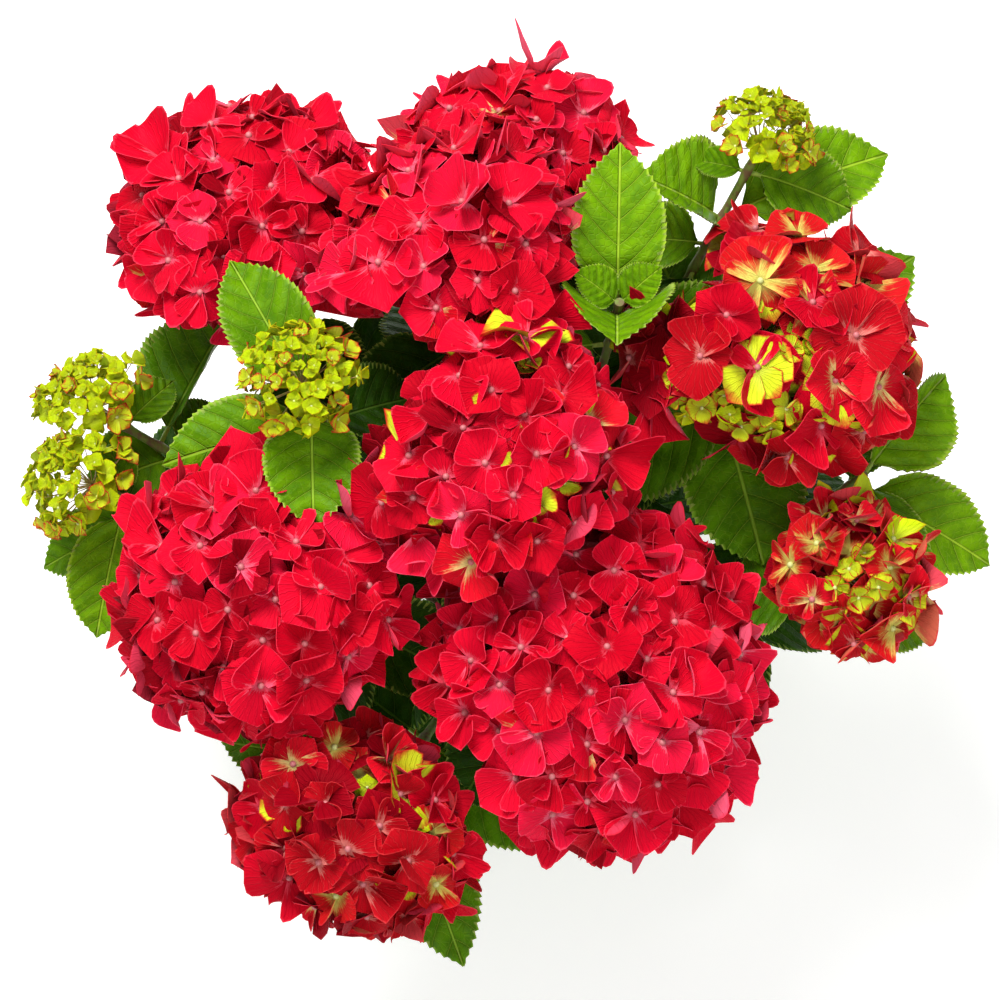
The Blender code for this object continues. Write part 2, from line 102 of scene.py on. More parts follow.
def add_soft_light(name, place, width, power):
    light = bpy.data.lights.new(name, "AREA")
    light.shape = "DISK"
    light.size = width
    light.energy = power
    lamp = bpy.data.objects.new(name, light)
    lamp.location = place
    lamp.rotation_euler = (Vector(place) - VIEW_TARGET).to_track_quat("Z", "Y").to_euler()
    bpy.context.scene.collection.objects.link(lamp)


bpy.ops.object.select_all(action="DESELECT")
bpy.ops.mesh.primitive_plane_add(size=FLOOR_WIDTH, location=(0, 0, -0.0005))
floor = bpy.context.object
floor.name = "floor"
floor_finish, floor_shader = plain_finish("floor_white", (0.92, 0.92, 0.92), 0.9, 0.1)
floor_shader.inputs["Emission Color"].default_value = (1.0, 1.0, 1.0, 1.0)
floor_shader.inputs["Emission Strength"].default_value = FLOOR_GLOW
floor.data.materials.append(floor_finish)

world = bpy.data.worlds.new("studio")
world.use_nodes = True
world.node_tree.nodes["Background"].inputs["Color"].default_value = (1.0, 1.0, 1.0, 1.0)
world.node_tree.nodes["Background"].inputs["Strength"].default_value = SURROUNDINGS
bpy.context.scene.world = world
bpy.context.scene.view_settings.view_transform = "Standard"
add_soft_light("key_light", **KEY_LIGHT)
add_soft_light("fill_light", **FILL_LIGHT)


# Woody stem
# The short old wood at the foot, hidden under the crown: grey-brown, flared into root ridges at
# the ground, with bark that splits lengthwise and peels in thin strips.
STEM_HEIGHT = 0.045
STEM_FOOT_RADIUS = 0.048
STEM_WAIST_RADIUS = 0.033
STEM_TOP_RADIUS = 0.036
STEM_LEAN = 0.003
STEM_SIDES = 144
STEM_RINGS = 26
STEM_EDGE_ROUND = 0.045
ROOT_RIDGES = 5
ROOT_RIDGE_HEIGHT = 0.10
BARK_RELIEF = 0.0016
BARK_STRIPS = 46.0
BARK_RIDGE = (0.22, 0.155, 0.095)
BARK_FURROW = (0.045, 0.028, 0.016)


def new_group(name, inputs, outputs):
    """An empty node group, with the sockets inside it that its nodes read and feed."""
    tree = bpy.data.node_groups.new(name, "ShaderNodeTree")
    for label, value in inputs.items():
        is_colour = isinstance(value, tuple)
        kind = "NodeSocketColor" if is_colour else "NodeSocketFloat"
        socket = tree.interface.new_socket(label, in_out="INPUT", socket_type=kind)
        socket.default_value = (*value, 1.0) if is_colour else value
    for label, kind in outputs.items():
        tree.interface.new_socket(label, in_out="OUTPUT", socket_type=kind)
    return tree, tree.nodes.new("NodeGroupInput").outputs, tree.nodes.new("NodeGroupOutput").inputs


def maths(tree, operation, *values):
    return add_node(tree, "ShaderNodeMath", enumerate(values), operation=operation).outputs[0]


def faded(tree, value, start, end, low=0.0, high=1.0):
    """Smooth step of a value, from low at start to high at end."""
    inputs = {"Value": value, "From Min": start, "From Max": end, "To Min": low, "To Max": high}
    return add_node(tree, "ShaderNodeMapRange", inputs, interpolation_type="SMOOTHSTEP").outputs[0]


def mixed(tree, share, first, second):
    """The first colour where the share is 0, and the second where it is 1."""
    node = tree.nodes.new("ShaderNodeMix")
    node.data_type = "RGBA"
    for place, value in ((0, share), (6, first), (7, second)):
        if isinstance(value, bpy.types.NodeSocket):
            tree.links.new(value, node.inputs[place])
        else:
            node.inputs[place].default_value = value
    return node.outputs[2]


def patterned_finish(name, group, values, roughness, specular, relief):
    """A material whose colour and relief come from a pattern group set to the given values."""
    colour = next(value for value in values.values() if isinstance(value, tuple))
    made, shader = plain_finish(name, colour, roughness, specular)
    tree = made.node_tree
    inputs = {key: (*value, 1.0) if isinstance(value, tuple) else value for key, value in values.items()}
    pattern = add_node(tree, "ShaderNodeGroup", inputs, node_tree=group)
    tree.links.new(pattern.outputs["Colour"], shader.inputs["Base Color"])
    bump = add_node(tree, "ShaderNodeBump", {"Height": pattern.outputs["Height"], "Distance": relief})
    tree.links.new(bump.outputs["Normal"], shader.inputs["Normal"])
    return made


def bark_group():
    """Bark: long fissures between ridges, with a fine grain across both."""
    inputs = {"Ridge": BARK_RIDGE, "Furrow": BARK_FURROW, "Fissures": 160.0}
    tree, given, result = new_group(
        "bark", inputs, {"Colour": "NodeSocketColor", "Height": "NodeSocketFloat"})
    place = add_node(tree, "ShaderNodeTexCoord").outputs["Object"]
    drawn = add_node(tree, "ShaderNodeMapping", {"Vector": place, "Scale": (1.0, 1.0, 0.16)}).outputs[0]
    fissures = add_node(tree, "ShaderNodeTexNoise", {
        "Vector": drawn, "Scale": given["Fissures"], "Detail": 5.0, "Roughness": 0.6}).outputs["Fac"]
    grain = add_node(tree, "ShaderNodeTexNoise", {
        "Vector": place, "Scale": 900.0, "Detail": 2.0}).outputs["Fac"]
    height = faded(tree, fissures, 0.38, 0.60)
    tone = maths(tree, "ADD", maths(tree, "MULTIPLY", height, 0.85), maths(tree, "MULTIPLY", grain, 0.25))
    tree.links.new(mixed(tree, tone, given["Furrow"], given["Ridge"]), result["Colour"])
    tree.links.new(tone, result["Height"])
    return tree


def stem_point(angle, share):
    """Point of the stem's side, with the relief of its bark."""
    flare = (1.0 - share) ** 2.4
    radius = STEM_WAIST_RADIUS
    radius += (STEM_FOOT_RADIUS - STEM_WAIST_RADIUS) * flare
    radius += (STEM_TOP_RADIUS - STEM_WAIST_RADIUS) * share**2
    radius *= 1.0 + ROOT_RIDGE_HEIGHT * flare * math.cos(ROOT_RIDGES * angle)
    radius *= 1.0 - STEM_EDGE_ROUND * max(0.0, (share - 0.9) / 0.1) ** 2
    around = Vector((math.cos(angle), math.sin(angle), share * 0.35)) * BARK_STRIPS / (2 * math.pi)
    radius += BARK_RELIEF * (abs(noise.noise(around)) * 2.0 - 0.8)
    lean = STEM_LEAN * math.sin(math.pi * share)
    return Vector((radius * math.cos(angle) + lean, radius * math.sin(angle), STEM_HEIGHT * share))


def put_on_plant(piece, slot, nodes):
    """Hand a finished piece to the frame: its body and the nodes it stands for. The slot is not used."""
    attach(piece, "root")
    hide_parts(*nodes)


bpy.ops.object.select_all(action="DESELECT")
bpy.ops.mesh.primitive_cylinder_add(vertices=STEM_SIDES, radius=1.0, depth=1.0, location=(0, 0, 0.5))
bpy.ops.object.transform_apply(location=True)
stem = bpy.context.object
stem.name = "woody_stem"
bpy.ops.object.mode_set(mode="EDIT")
bpy.ops.mesh.select_mode(type="EDGE")
bpy.ops.mesh.select_all(action="DESELECT")
bpy.ops.object.mode_set(mode="OBJECT")
for edge in stem.data.edges:
    first, second = (stem.data.vertices[i].co for i in edge.vertices)
    edge.select = abs(first.z - second.z) > 0.5
bpy.ops.object.mode_set(mode="EDIT")
bpy.ops.mesh.subdivide(number_cuts=STEM_RINGS)
bpy.ops.object.mode_set(mode="OBJECT")
for vertex in stem.data.vertices:
    vertex.co = stem_point(math.atan2(vertex.co.y, vertex.co.x), vertex.co.z)
bpy.ops.object.shade_smooth_by_angle(angle=math.radians(50))
bark = bark_group()
stem.data.materials.append(patterned_finish(
    "stem_bark", bark, {"Ridge": BARK_RIDGE, "Furrow": BARK_FURROW, "Fissures": 160.0}, 0.85, 0.3, 0.0015))
put_on_plant(stem, "bark", ["main_stem"])


# Canes
# Fifteen canes fan out from the stem's top. Each is brown and woody below, and green and smooth in
# this year's growth above, with a swelling where every pair of leaves is attached.
INNER_RING = 0.0125
OUTER_RING = 0.0265
CANE_FOOT_RADIUS = 0.0047
CANE_MIDDLE_RADIUS = 0.0036
CANE_TOP_RADIUS = 0.0026
WOODY_SHARE = 0.36
CANE_SINK = 0.004
FIRST_RISE = 0.15
LAST_PULL = 0.13
LINE_STEPS = 80
NODE_SWELLING = 0.34
NODE_LENGTH = 0.0045
LOWER_PAIR_STEP = 0.045
DOME_HEIGHT = 0.80
DOME_UNDERSIDE = 0.42
CANE_BARK_RIDGE = (0.26, 0.175, 0.095)
CANE_BARK_FURROW = (0.075, 0.045, 0.024)
GREEN_CANE = (0.16, 0.24, 0.035)
GREEN_CANE_FLECK = (0.16, 0.075, 0.045)


@dataclass
class Leaf:
    """One leaf: how far below the head's middle it sits, where it points, its size and set, and its tone,
    which paints in the light or shade that falls on it.
    """

    drop: float
    bearing: float
    length: float
    width: float
    pitch: float = 8.0
    roll: float = 0.0
    fold: float = 16.0
    tone: str = "green"
    free: bool = False


@dataclass
class Shoot:
    """A cane with what it carries: the head's middle, radius and lean, its foot, florets and leaves."""

    name: str
    kind: str
    place: tuple
    radius: float
    lean: float
    ring: float
    foot: float
    spacing: float
    mix: str
    leaves: tuple
    stretch: float = 1.0
    turn: float = 0.0
    lower_pairs: int = 3
    patches: tuple = ()


# The fifteen shoots, given as real sizes, in metres and degrees
# Each leaf's tone paints light or shade on it: the lit tone on leaves in the light, shaded tones on leaves
# under the heads.
SHOOTS = (
    Shoot("back_left", "red", (-0.159, 0.191, 0.385), 0.084, 20, OUTER_RING, 124, 0.0285, "red", (
        Leaf(0.070, 300, 0.075, 0.050, tone="painted_deep_shade"),
        Leaf(0.070, 60, 0.070, 0.048, tone="painted_deep_shade")), stretch=1.04, turn=140),
    Shoot("back", "red", (0.011, 0.229, 0.375), 0.075, 18, OUTER_RING, 88, 0.0285, "red", (
        Leaf(0.066, 140, 0.112, 0.050, tone="painted_shade"),
        Leaf(0.066, 335, 0.080, 0.052, tone="painted_deep_shade"))),
    Shoot("centre_back", "red", (-0.028, 0.136, 0.455), 0.078, 8, INNER_RING, 98, 0.0285, "red", (
        Leaf(0.075, 215, 0.085, 0.056, tone="painted_deep_shade"),
        Leaf(0.075, 30, 0.080, 0.054, tone="painted_deep_shade")),
        stretch=1.09, turn=52, patches=((273, 46, 4, "unripe"),)),
    Shoot("centre", "red", (-0.006, 0.016, 0.458), 0.081, 4, 0.0, 0, 0.027, "red_lime", (
        Leaf(0.080, 140, 0.100, 0.062, tone="painted_deep_shade"),
        Leaf(0.080, 350, 0.095, 0.060, tone="painted_deep_shade")),
        stretch=1.12, turn=78,
        patches=((46, 36, 7, "unripe"), (22, 27, 5, "unripe"), (296, 20, 7, "unripe"), (327, 54, 7, "unripe"),
                 (297, 57, 7, "unripe"), (236, 62, 8, "unripe"), (114, 46, 5, "unripe"))),
    Shoot("left", "red", (-0.150, -0.053, 0.385), 0.092, 16, INNER_RING, 222, 0.0285, "red", (
        Leaf(0.085, 335, 0.105, 0.062, tone="painted_deep_shade"),
        Leaf(0.085, 120, 0.080, 0.054, tone="painted_deep_shade")),
        patches=((312, 62, 6, "unripe"),)),
    Shoot("front", "red", (0.058, -0.106, 0.375), 0.107, 12, INNER_RING, 300, 0.0285, "red", (
        Leaf(0.095, 172, 0.118, 0.066, tone="painted_deep_shade"),
        Leaf(0.095, 352, 0.130, 0.060, tone="painted_shade"),
        Leaf(0.120, 235, 0.110, 0.064, tone="painted_deep_shade")), stretch=1.06, turn=98,
        patches=((222, 88, 21, "bare"),)),
    Shoot("front_left", "half_ripe", (-0.093, -0.187, 0.325), 0.063, 24, OUTER_RING, 247, 0.027,
          "half_ripe", (
        Leaf(0.050, 188, 0.090, 0.048, tone="painted_shade"),
        Leaf(0.050, 8, 0.060, 0.040, tone="painted_deep_shade"),
        Leaf(0.085, 291, 0.128, 0.056, tone="painted_shade"),
        Leaf(0.085, 165, 0.118, 0.052, tone="painted_shade"),
        Leaf(0.140, 322, 0.110, 0.066, tone="painted_shade"),
        Leaf(0.140, 142, 0.090, 0.056, tone="painted_deep_shade")), stretch=1.26, turn=-40,
        patches=((148, 72, 7, "unripe"), (96, 60, 6, "unripe"), (58, 36, 6, "unripe"),
                 (180, 30, 10, "unripe"), (10, 50, 8, "unripe"), (312, 28, 5, "unripe"),
                 (316, 54, 9, "unripe"))),
    Shoot("back_right", "half_ripe", (0.165, 0.101, 0.400), 0.085, 16, OUTER_RING, 34, 0.033, "velvet", (
        Leaf(0.060, 285, 0.106, 0.078, tone="painted_shade"),
        Leaf(0.060, 110, 0.132, 0.064, pitch=14, tone="painted_shade"),
        Leaf(0.042, 40, 0.162, 0.068, pitch=8),
        Leaf(0.042, 214, 0.108, 0.066, pitch=-2, tone="painted_shade", free=True)), stretch=1.18, turn=8,
        patches=((135, 68, 24, "bare"), (98, 86, 14, "bare"), (170, 52, 14, "bare"), (240, 112, 26, "bare"),
                 (210, 64, 9, "unripe"), (230, 80, 11, "unripe"), (248, 66, 13, "unripe"),
                 (270, 68, 14, "unripe"), (285, 22, 8, "unripe"), (66, 34, 15, "hearted"),
                 (26, 40, 20, "hearted"), (340, 44, 16, "hearted"), (318, 52, 16, "hearted"))),
    Shoot("right", "half_ripe", (0.220, -0.036, 0.355), 0.050, 24, OUTER_RING, 344, 0.024, "hearted", (
        Leaf(0.042, 176, 0.048, 0.064, pitch=-4, tone="painted_shade"),
        Leaf(0.042, 348, 0.092, 0.054, pitch=-4)), patches=((212, 28, 30, "unripe"),)),
    Shoot("lime_inner", "lime", (-0.121, 0.050, 0.480), 0.038, 5, INNER_RING, 162, 0.0120, "lime", (
        Leaf(0.034, 119, 0.106, 0.054, pitch=22, free=True),
        Leaf(0.034, 272, 0.081, 0.059, pitch=22, free=True),
        Leaf(0.060, 195, 0.102, 0.056, pitch=16, roll=20, fold=-10),
        Leaf(0.060, 22, 0.068, 0.052, pitch=0, tone="painted_deep_shade", free=True)), lower_pairs=2),
    Shoot("lime_left_back", "lime", (-0.263, 0.086, 0.337), 0.032, 36, OUTER_RING, 152, 0.0120, "lime", (
        Leaf(0.058, 65, 0.110, 0.060, pitch=10, roll=34, fold=34, tone="painted_shade"),
        Leaf(0.074, 200, 0.064, 0.056, pitch=10),
        Leaf(0.074, 50, 0.048, 0.044, pitch=4, tone="painted_shade"),
        Leaf(0.028, 46, 0.044, 0.030, pitch=14)), stretch=1.36, turn=10, lower_pairs=2),
    Shoot("lime_left", "lime", (-0.266, 0.036, 0.330), 0.039, 38, OUTER_RING, 178, 0.0130, "lime", (
        Leaf(0.030, 257, 0.092, 0.050, pitch=-4, tone="painted_lit", free=True),
        Leaf(0.032, 110, 0.040, 0.026, pitch=20),
        Leaf(0.058, 200, 0.088, 0.044, pitch=-4)), lower_pairs=2),
    Shoot("lime_back_right", "lime", (0.168, 0.235, 0.420), 0.035, 42, OUTER_RING, 60, 0.0115, "lime", (
        Leaf(0.058, 165, 0.066, 0.064, pitch=50, roll=-20, fold=30, tone="painted_lit"),
        Leaf(0.058, 24, 0.120, 0.062, pitch=12, tone="painted_lit"),
        Leaf(0.020, 165, 0.036, 0.022, pitch=10),
        Leaf(0.020, 343, 0.072, 0.052, pitch=4, free=True),
        Leaf(0.078, 170, 0.052, 0.046, pitch=0, free=True),
        Leaf(0.096, 250, 0.070, 0.048, pitch=0, tone="painted_deep_shade")), lower_pairs=2),
    Shoot("leafy_back", "leafy", (0.074, 0.116, 0.440), 0.0, 6, INNER_RING, 34, 0.0, "", (
        Leaf(0.004, 152, 0.037, 0.027, pitch=48, tone="painted_lit", free=True),
        Leaf(0.004, 34, 0.037, 0.027, pitch=48, tone="painted_lit", free=True),
        Leaf(0.018, 89, 0.108, 0.058, pitch=46, fold=6, tone="painted_lit", free=True),
        Leaf(0.018, 268, 0.064, 0.068, pitch=70, fold=30, tone="painted_lit", free=True),
        Leaf(0.052, 10, 0.105, 0.060, pitch=4, tone="painted_shade"),
        Leaf(0.052, 186, 0.080, 0.052, pitch=4, tone="painted_shade"),
        Leaf(0.088, 75, 0.095, 0.058, pitch=0, tone="painted_deep_shade"),
        Leaf(0.088, 262, 0.095, 0.058, pitch=0, tone="painted_deep_shade")), lower_pairs=2),
    Shoot("leafy_right", "leafy", (0.232, 0.038, 0.335), 0.0, 20, OUTER_RING, 10, 0.0, "", (
        Leaf(0.004, 50, 0.086, 0.052, pitch=26, roll=-45, fold=35, tone="painted_lit"),
        Leaf(0.004, 303, 0.080, 0.034, pitch=10, roll=40),
        Leaf(0.020, 333, 0.105, 0.058, pitch=4, tone="painted_lit"),
        Leaf(0.020, 78, 0.046, 0.040, pitch=6, tone="painted_shade")), lower_pairs=2),
)


def compass(bearing):
    """Level direction at a bearing in degrees, counted from +X towards +Y."""
    angle = math.radians(bearing)
    return Vector((math.cos(angle), math.sin(angle), 0.0))


def head_axis(shoot):
    """Direction in which the head faces: up, and leaning out from the middle of the shrub."""
    outward = Vector((shoot.place[0], shoot.place[1], 0.0)).normalized()
    lean = math.radians(shoot.lean)
    return outward * math.sin(lean) + UP * math.cos(lean)


def cane_points(shoot):
    """Even steps along a cane, upright at the foot and along the head's axis at the top, and its length."""
    axis = head_axis(shoot)
    foot = compass(shoot.foot) * shoot.ring + UP * STEM_HEIGHT
    top = Vector(shoot.place) - axis * shoot.radius * DOME_UNDERSIDE / 2
    corners = np.array([foot, foot + UP * FIRST_RISE, top - axis * LAST_PULL, top])
    t = np.linspace(0.0, 1.0, 4 * LINE_STEPS)
    s = 1.0 - t
    curve = np.stack([s**3, 3 * s * s * t, 3 * s * t * t, t**3], 1) @ corners
    marks = np.concatenate([[0.0], np.cumsum(np.linalg.norm(np.diff(curve, axis=0), axis=1))])
    even = np.linspace(0.0, marks[-1], LINE_STEPS + 1)
    return np.stack([np.interp(even, marks, curve[:, i]) for i in range(3)], 1), marks[-1]


def at_distance(points, length, distance):
    """Point of a cane at a distance from its foot."""
    marks = np.linspace(0.0, length, len(points))
    return Vector([np.interp(distance, marks, points[:, i]) for i in range(3)])


def node_distances(shoot, length):
    """Where pairs of leaves are attached, counted from the foot, down to the lowest pair."""
    drops = sorted({round(leaf.drop, 3) for leaf in shoot.leaves})
    drops += [drops[-1] + LOWER_PAIR_STEP * pair for pair in range(1, shoot.lower_pairs + 4)]
    return [length - drop for drop in drops if drop < length * 0.92]


def tubes_mesh(name, lines, sides):
    """One mesh of round tubes, from lists of points with a radius at each."""
    curve = bpy.data.curves.new(name, "CURVE")
    curve.dimensions = "3D"
    curve.bevel_depth = 1.0
    curve.bevel_resolution = sides // 2 - 2
    curve.use_fill_caps = True
    for points, radii in lines:
        spline = curve.splines.new("POLY")
        spline.points.add(len(points) - 1)
        for point, place, radius in zip(spline.points, points, radii):
            point.co = (*place, 1.0)
            point.radius = radius
    made = bpy.data.objects.new(name, curve)
    bpy.context.scene.collection.objects.link(made)
    bpy.ops.object.select_all(action="DESELECT")
    made.select_set(True)
    bpy.context.view_layer.objects.active = made
    bpy.ops.object.convert(target="MESH")
    made = bpy.context.object
    bpy.ops.object.shade_smooth_by_angle(angle=math.radians(60))
    return made


def cane_lines(woody):
    """Lines and radii of the woody or the green stretch of every cane."""
    for shoot in SHOOTS:
        points, length = CANES[shoot.name]
        marks = np.linspace(0.0, length, len(points))
        share = marks / length
        radii = np.interp(
            share, [0.0, WOODY_SHARE, 1.0], [CANE_FOOT_RADIUS, CANE_MIDDLE_RADIUS, CANE_TOP_RADIUS])
        for node in node_distances(shoot, length):
            radii = radii * (1.0 + NODE_SWELLING * np.exp(-(((marks - node) / NODE_LENGTH) ** 2)))
        kept = share <= WOODY_SHARE + 0.013 if woody else share >= WOODY_SHARE - 0.013
        line, widths = points[kept], radii[kept]
        if woody:
            line = np.vstack([line[:1] - [[0.0, 0.0, CANE_SINK]], line])
            widths = np.concatenate([widths[:1], widths])
        yield line, widths


def mass_node(shoot):
    return f"{'leaves' if shoot.kind == 'leafy' else 'flowers'}_{shoot.name}"


CANES = {shoot.name: cane_points(shoot) for shoot in SHOOTS}
woody_canes = tubes_mesh("woody_canes", cane_lines(woody=True), 12)
woody_canes.data.materials.append(patterned_finish(
    "cane_bark", bark, {"Ridge": CANE_BARK_RIDGE, "Furrow": CANE_BARK_FURROW, "Fissures": 420.0},
    0.75, 0.3, 0.0006))
put_on_plant(woody_canes, "bark", [f"bough_{shoot.name}" for shoot in SHOOTS])

green_canes = tubes_mesh("green_canes", cane_lines(woody=False), 12)
green_canes.data.materials.append(patterned_finish(
    "cane_green", bark, {"Ridge": GREEN_CANE, "Furrow": GREEN_CANE_FLECK, "Fissures": 260.0},
    0.5, 0.3, 0.0002))
put_on_plant(green_canes, "foliage", [mass_node(shoot) for shoot in SHOOTS])


# Leaves
# Opposite pairs of broad leaves on stout stalks: ovate, drawn out to a point, toothed like a coarse
# saw, raised between sunken veins. Their green has painted light and shade in it: a lit tone for leaves in
# the light, shaded tones for leaves under the heads.
LEAF_THICKNESS = 0.0007
LEAF_TEETH = 24
LEAF_ACROSS = 8
LEAF_STALK_SHARE = 0.13
LEAF_STALK_RADIUS = 0.0017
LEAF_ARCH = math.radians(34)
TOOTH_DEPTH = 0.038
TOOTH_REACH = 0.85
SIDE_VEINS = 6.0
PUFF_HEIGHT = 0.0012
EDGE_RUFFLE = 0.010
SHADE_SLOPE = 0.325
LOWER_LEAF_LENGTH = 0.098
LOWER_LEAF_WIDTH = 0.060
LOWER_LEAF_PITCH = -12
LOWER_LEAF_RANGE = (0.85, 1.15)
LOWER_LEAF_SWING = 14
LOWER_LEAF_TURNS = (0, 30, -30, 60, -60)
SEED = 11
LEAF_OUTLINE = (
    (0.0, 0.05), (0.05, 0.36), (0.12, 0.64), (0.22, 0.87), (0.33, 0.98), (0.45, 1.0), (0.57, 0.96),
    (0.68, 0.84), (0.78, 0.65), (0.86, 0.44), (0.92, 0.25), (0.965, 0.10), (1.0, 0.008))
# Blade, darker blotches, veins and edge of each tone. The tones are lit and shaded copies of one leaf green,
# with painted light and shade in them, from painted light on leaves in the open to heavy painted shade under
# the heads; the last is the paler underside.
LEAF_TONES = {
    "painted_lit": ((0.140, 0.300, 0.001), (0.078, 0.195, 0.001), (0.33, 0.50, 0.03), (0.36, 0.54, 0.03)),
    "green": ((0.108, 0.245, 0.001), (0.056, 0.155, 0.001), (0.27, 0.44, 0.03), (0.30, 0.48, 0.03)),
    "painted_shade": ((0.082, 0.215, 0.002), (0.042, 0.125, 0.001), (0.24, 0.42, 0.03), (0.24, 0.44, 0.03)),
    "painted_deep_shade": ((0.024, 0.078, 0.002), (0.012, 0.044, 0.001), (0.09, 0.18, 0.02), (0.09, 0.19, 0.02)),
    "below": ((0.20, 0.30, 0.05), (0.14, 0.23, 0.03), (0.32, 0.42, 0.10), (0.34, 0.44, 0.08)),
}
PATTERN_MARGIN = 0.05


class Sheet:
    """A flat closed sheet, modelled once. Every copy gives its points new places."""

    def __init__(self, along, across, outline, breadth):
        bpy.ops.object.select_all(action="DESELECT")
        bpy.ops.mesh.primitive_grid_add(x_subdivisions=along, y_subdivisions=across, size=2)
        blank = bpy.context.object
        wall = blank.modifiers.new("wall", "SOLIDIFY")
        wall.thickness = 0.1
        wall.offset = -1.0
        bpy.ops.object.modifier_apply(modifier=wall.name)
        mesh = blank.data
        places = np.array([vertex.co for vertex in mesh.vertices])
        self.u = (places[:, 0] + 1.0) / 2.0
        self.v = places[:, 1]
        self.below = places[:, 2] < -0.05
        self.faces = np.array([face.vertices for face in mesh.polygons])
        self.face_below = np.array([face.normal.z < 0.5 for face in mesh.polygons])
        self.is_rim = np.array([abs(face.normal.z) < 0.5 for face in mesh.polygons])
        self.outline = np.interp(self.u, *np.array(outline).T)
        self.breadth = breadth
        bpy.data.objects.remove(blank)

    def corner_maps(self):
        """Per face corner: true proportions, square proportions, and the place in the shared picture."""
        u = self.u[self.faces]
        v = self.v[self.faces]
        plan = np.stack([u, 0.5 + v * self.outline[self.faces] * self.breadth / 2], -1)
        square = np.stack([u, 0.5 + v / 2], -1)
        outwards = (self.is_rim[:, None] & self.below[self.faces])[..., None]
        pushed = (square - 0.5) * np.where(outwards, 1.0 + PATTERN_MARGIN, 1.0) + 0.5
        return plan, square, pushed


def join_copies(name, sheet, points, tones, tone_names, finishes):
    """One piece of many copies of a sheet. points holds every copy's points, and tones its tone."""
    copies, count = points.shape[:2]
    faces = (sheet.faces[None] + (np.arange(copies) * count)[:, None, None]).reshape(-1, 4)
    mesh = bpy.data.meshes.new(name)
    mesh.vertices.add(copies * count)
    mesh.vertices.foreach_set("co", points.astype(np.float32).ravel())
    mesh.loops.add(faces.size)
    mesh.loops.foreach_set("vertex_index", faces.astype(np.int32).ravel())
    mesh.polygons.add(len(faces))
    mesh.polygons.foreach_set("loop_start", np.arange(0, faces.size, 4, dtype=np.int32))
    for finish in finishes:
        mesh.materials.append(finish)
    slots = np.array(tones)[:, None] * 2 + sheet.face_below[None]
    mesh.polygons.foreach_set("material_index", slots.astype(np.int32).ravel())
    mesh.update(calc_edges=True)
    plan, square, pushed = sheet.corner_maps()
    whole = PATTERN_MARGIN * 2 + 1.0
    cell = np.stack(np.broadcast_arrays(
        np.array(tones)[:, None, None] + 0.0, sheet.face_below[None, :, None] * 1.0), -1)
    own = (pushed + PATTERN_MARGIN) / whole
    atlas = np.stack([(cell[..., 0] + own[None, ..., 1]) / len(tone_names),
                      (cell[..., 1] + own[None, ..., 0]) / 2], -1)
    for label, values in (("plan", plan), ("square", square), ("OFBake", atlas)):
        layer = mesh.uv_layers.new(name=label)
        spread = np.broadcast_to(values, (copies, *values.shape[-3:])) if values.ndim == 3 else values
        layer.data.foreach_set("uv", spread.astype(np.float32).ravel())
    made = bpy.data.objects.new(name, mesh)
    bpy.context.scene.collection.objects.link(made)
    bpy.ops.object.select_all(action="DESELECT")
    made.select_set(True)
    bpy.context.view_layer.objects.active = made
    bpy.ops.object.shade_smooth_by_angle(angle=math.radians(55))
    return made


def thickened(surface, sheet, thickness):
    """Points of a sheet laid on a surface, its lower wall set below the surface by the thickness."""
    step = 1e-3
    here = surface(sheet.u, sheet.v)
    along = here - surface(sheet.u - step, sheet.v)
    across = surface(sheet.u, sheet.v + step) - here
    normal = np.cross(along, across)
    normal /= np.linalg.norm(normal, axis=-1, keepdims=True)
    return here - normal * (sheet.below * 1.0)[..., None] * thickness


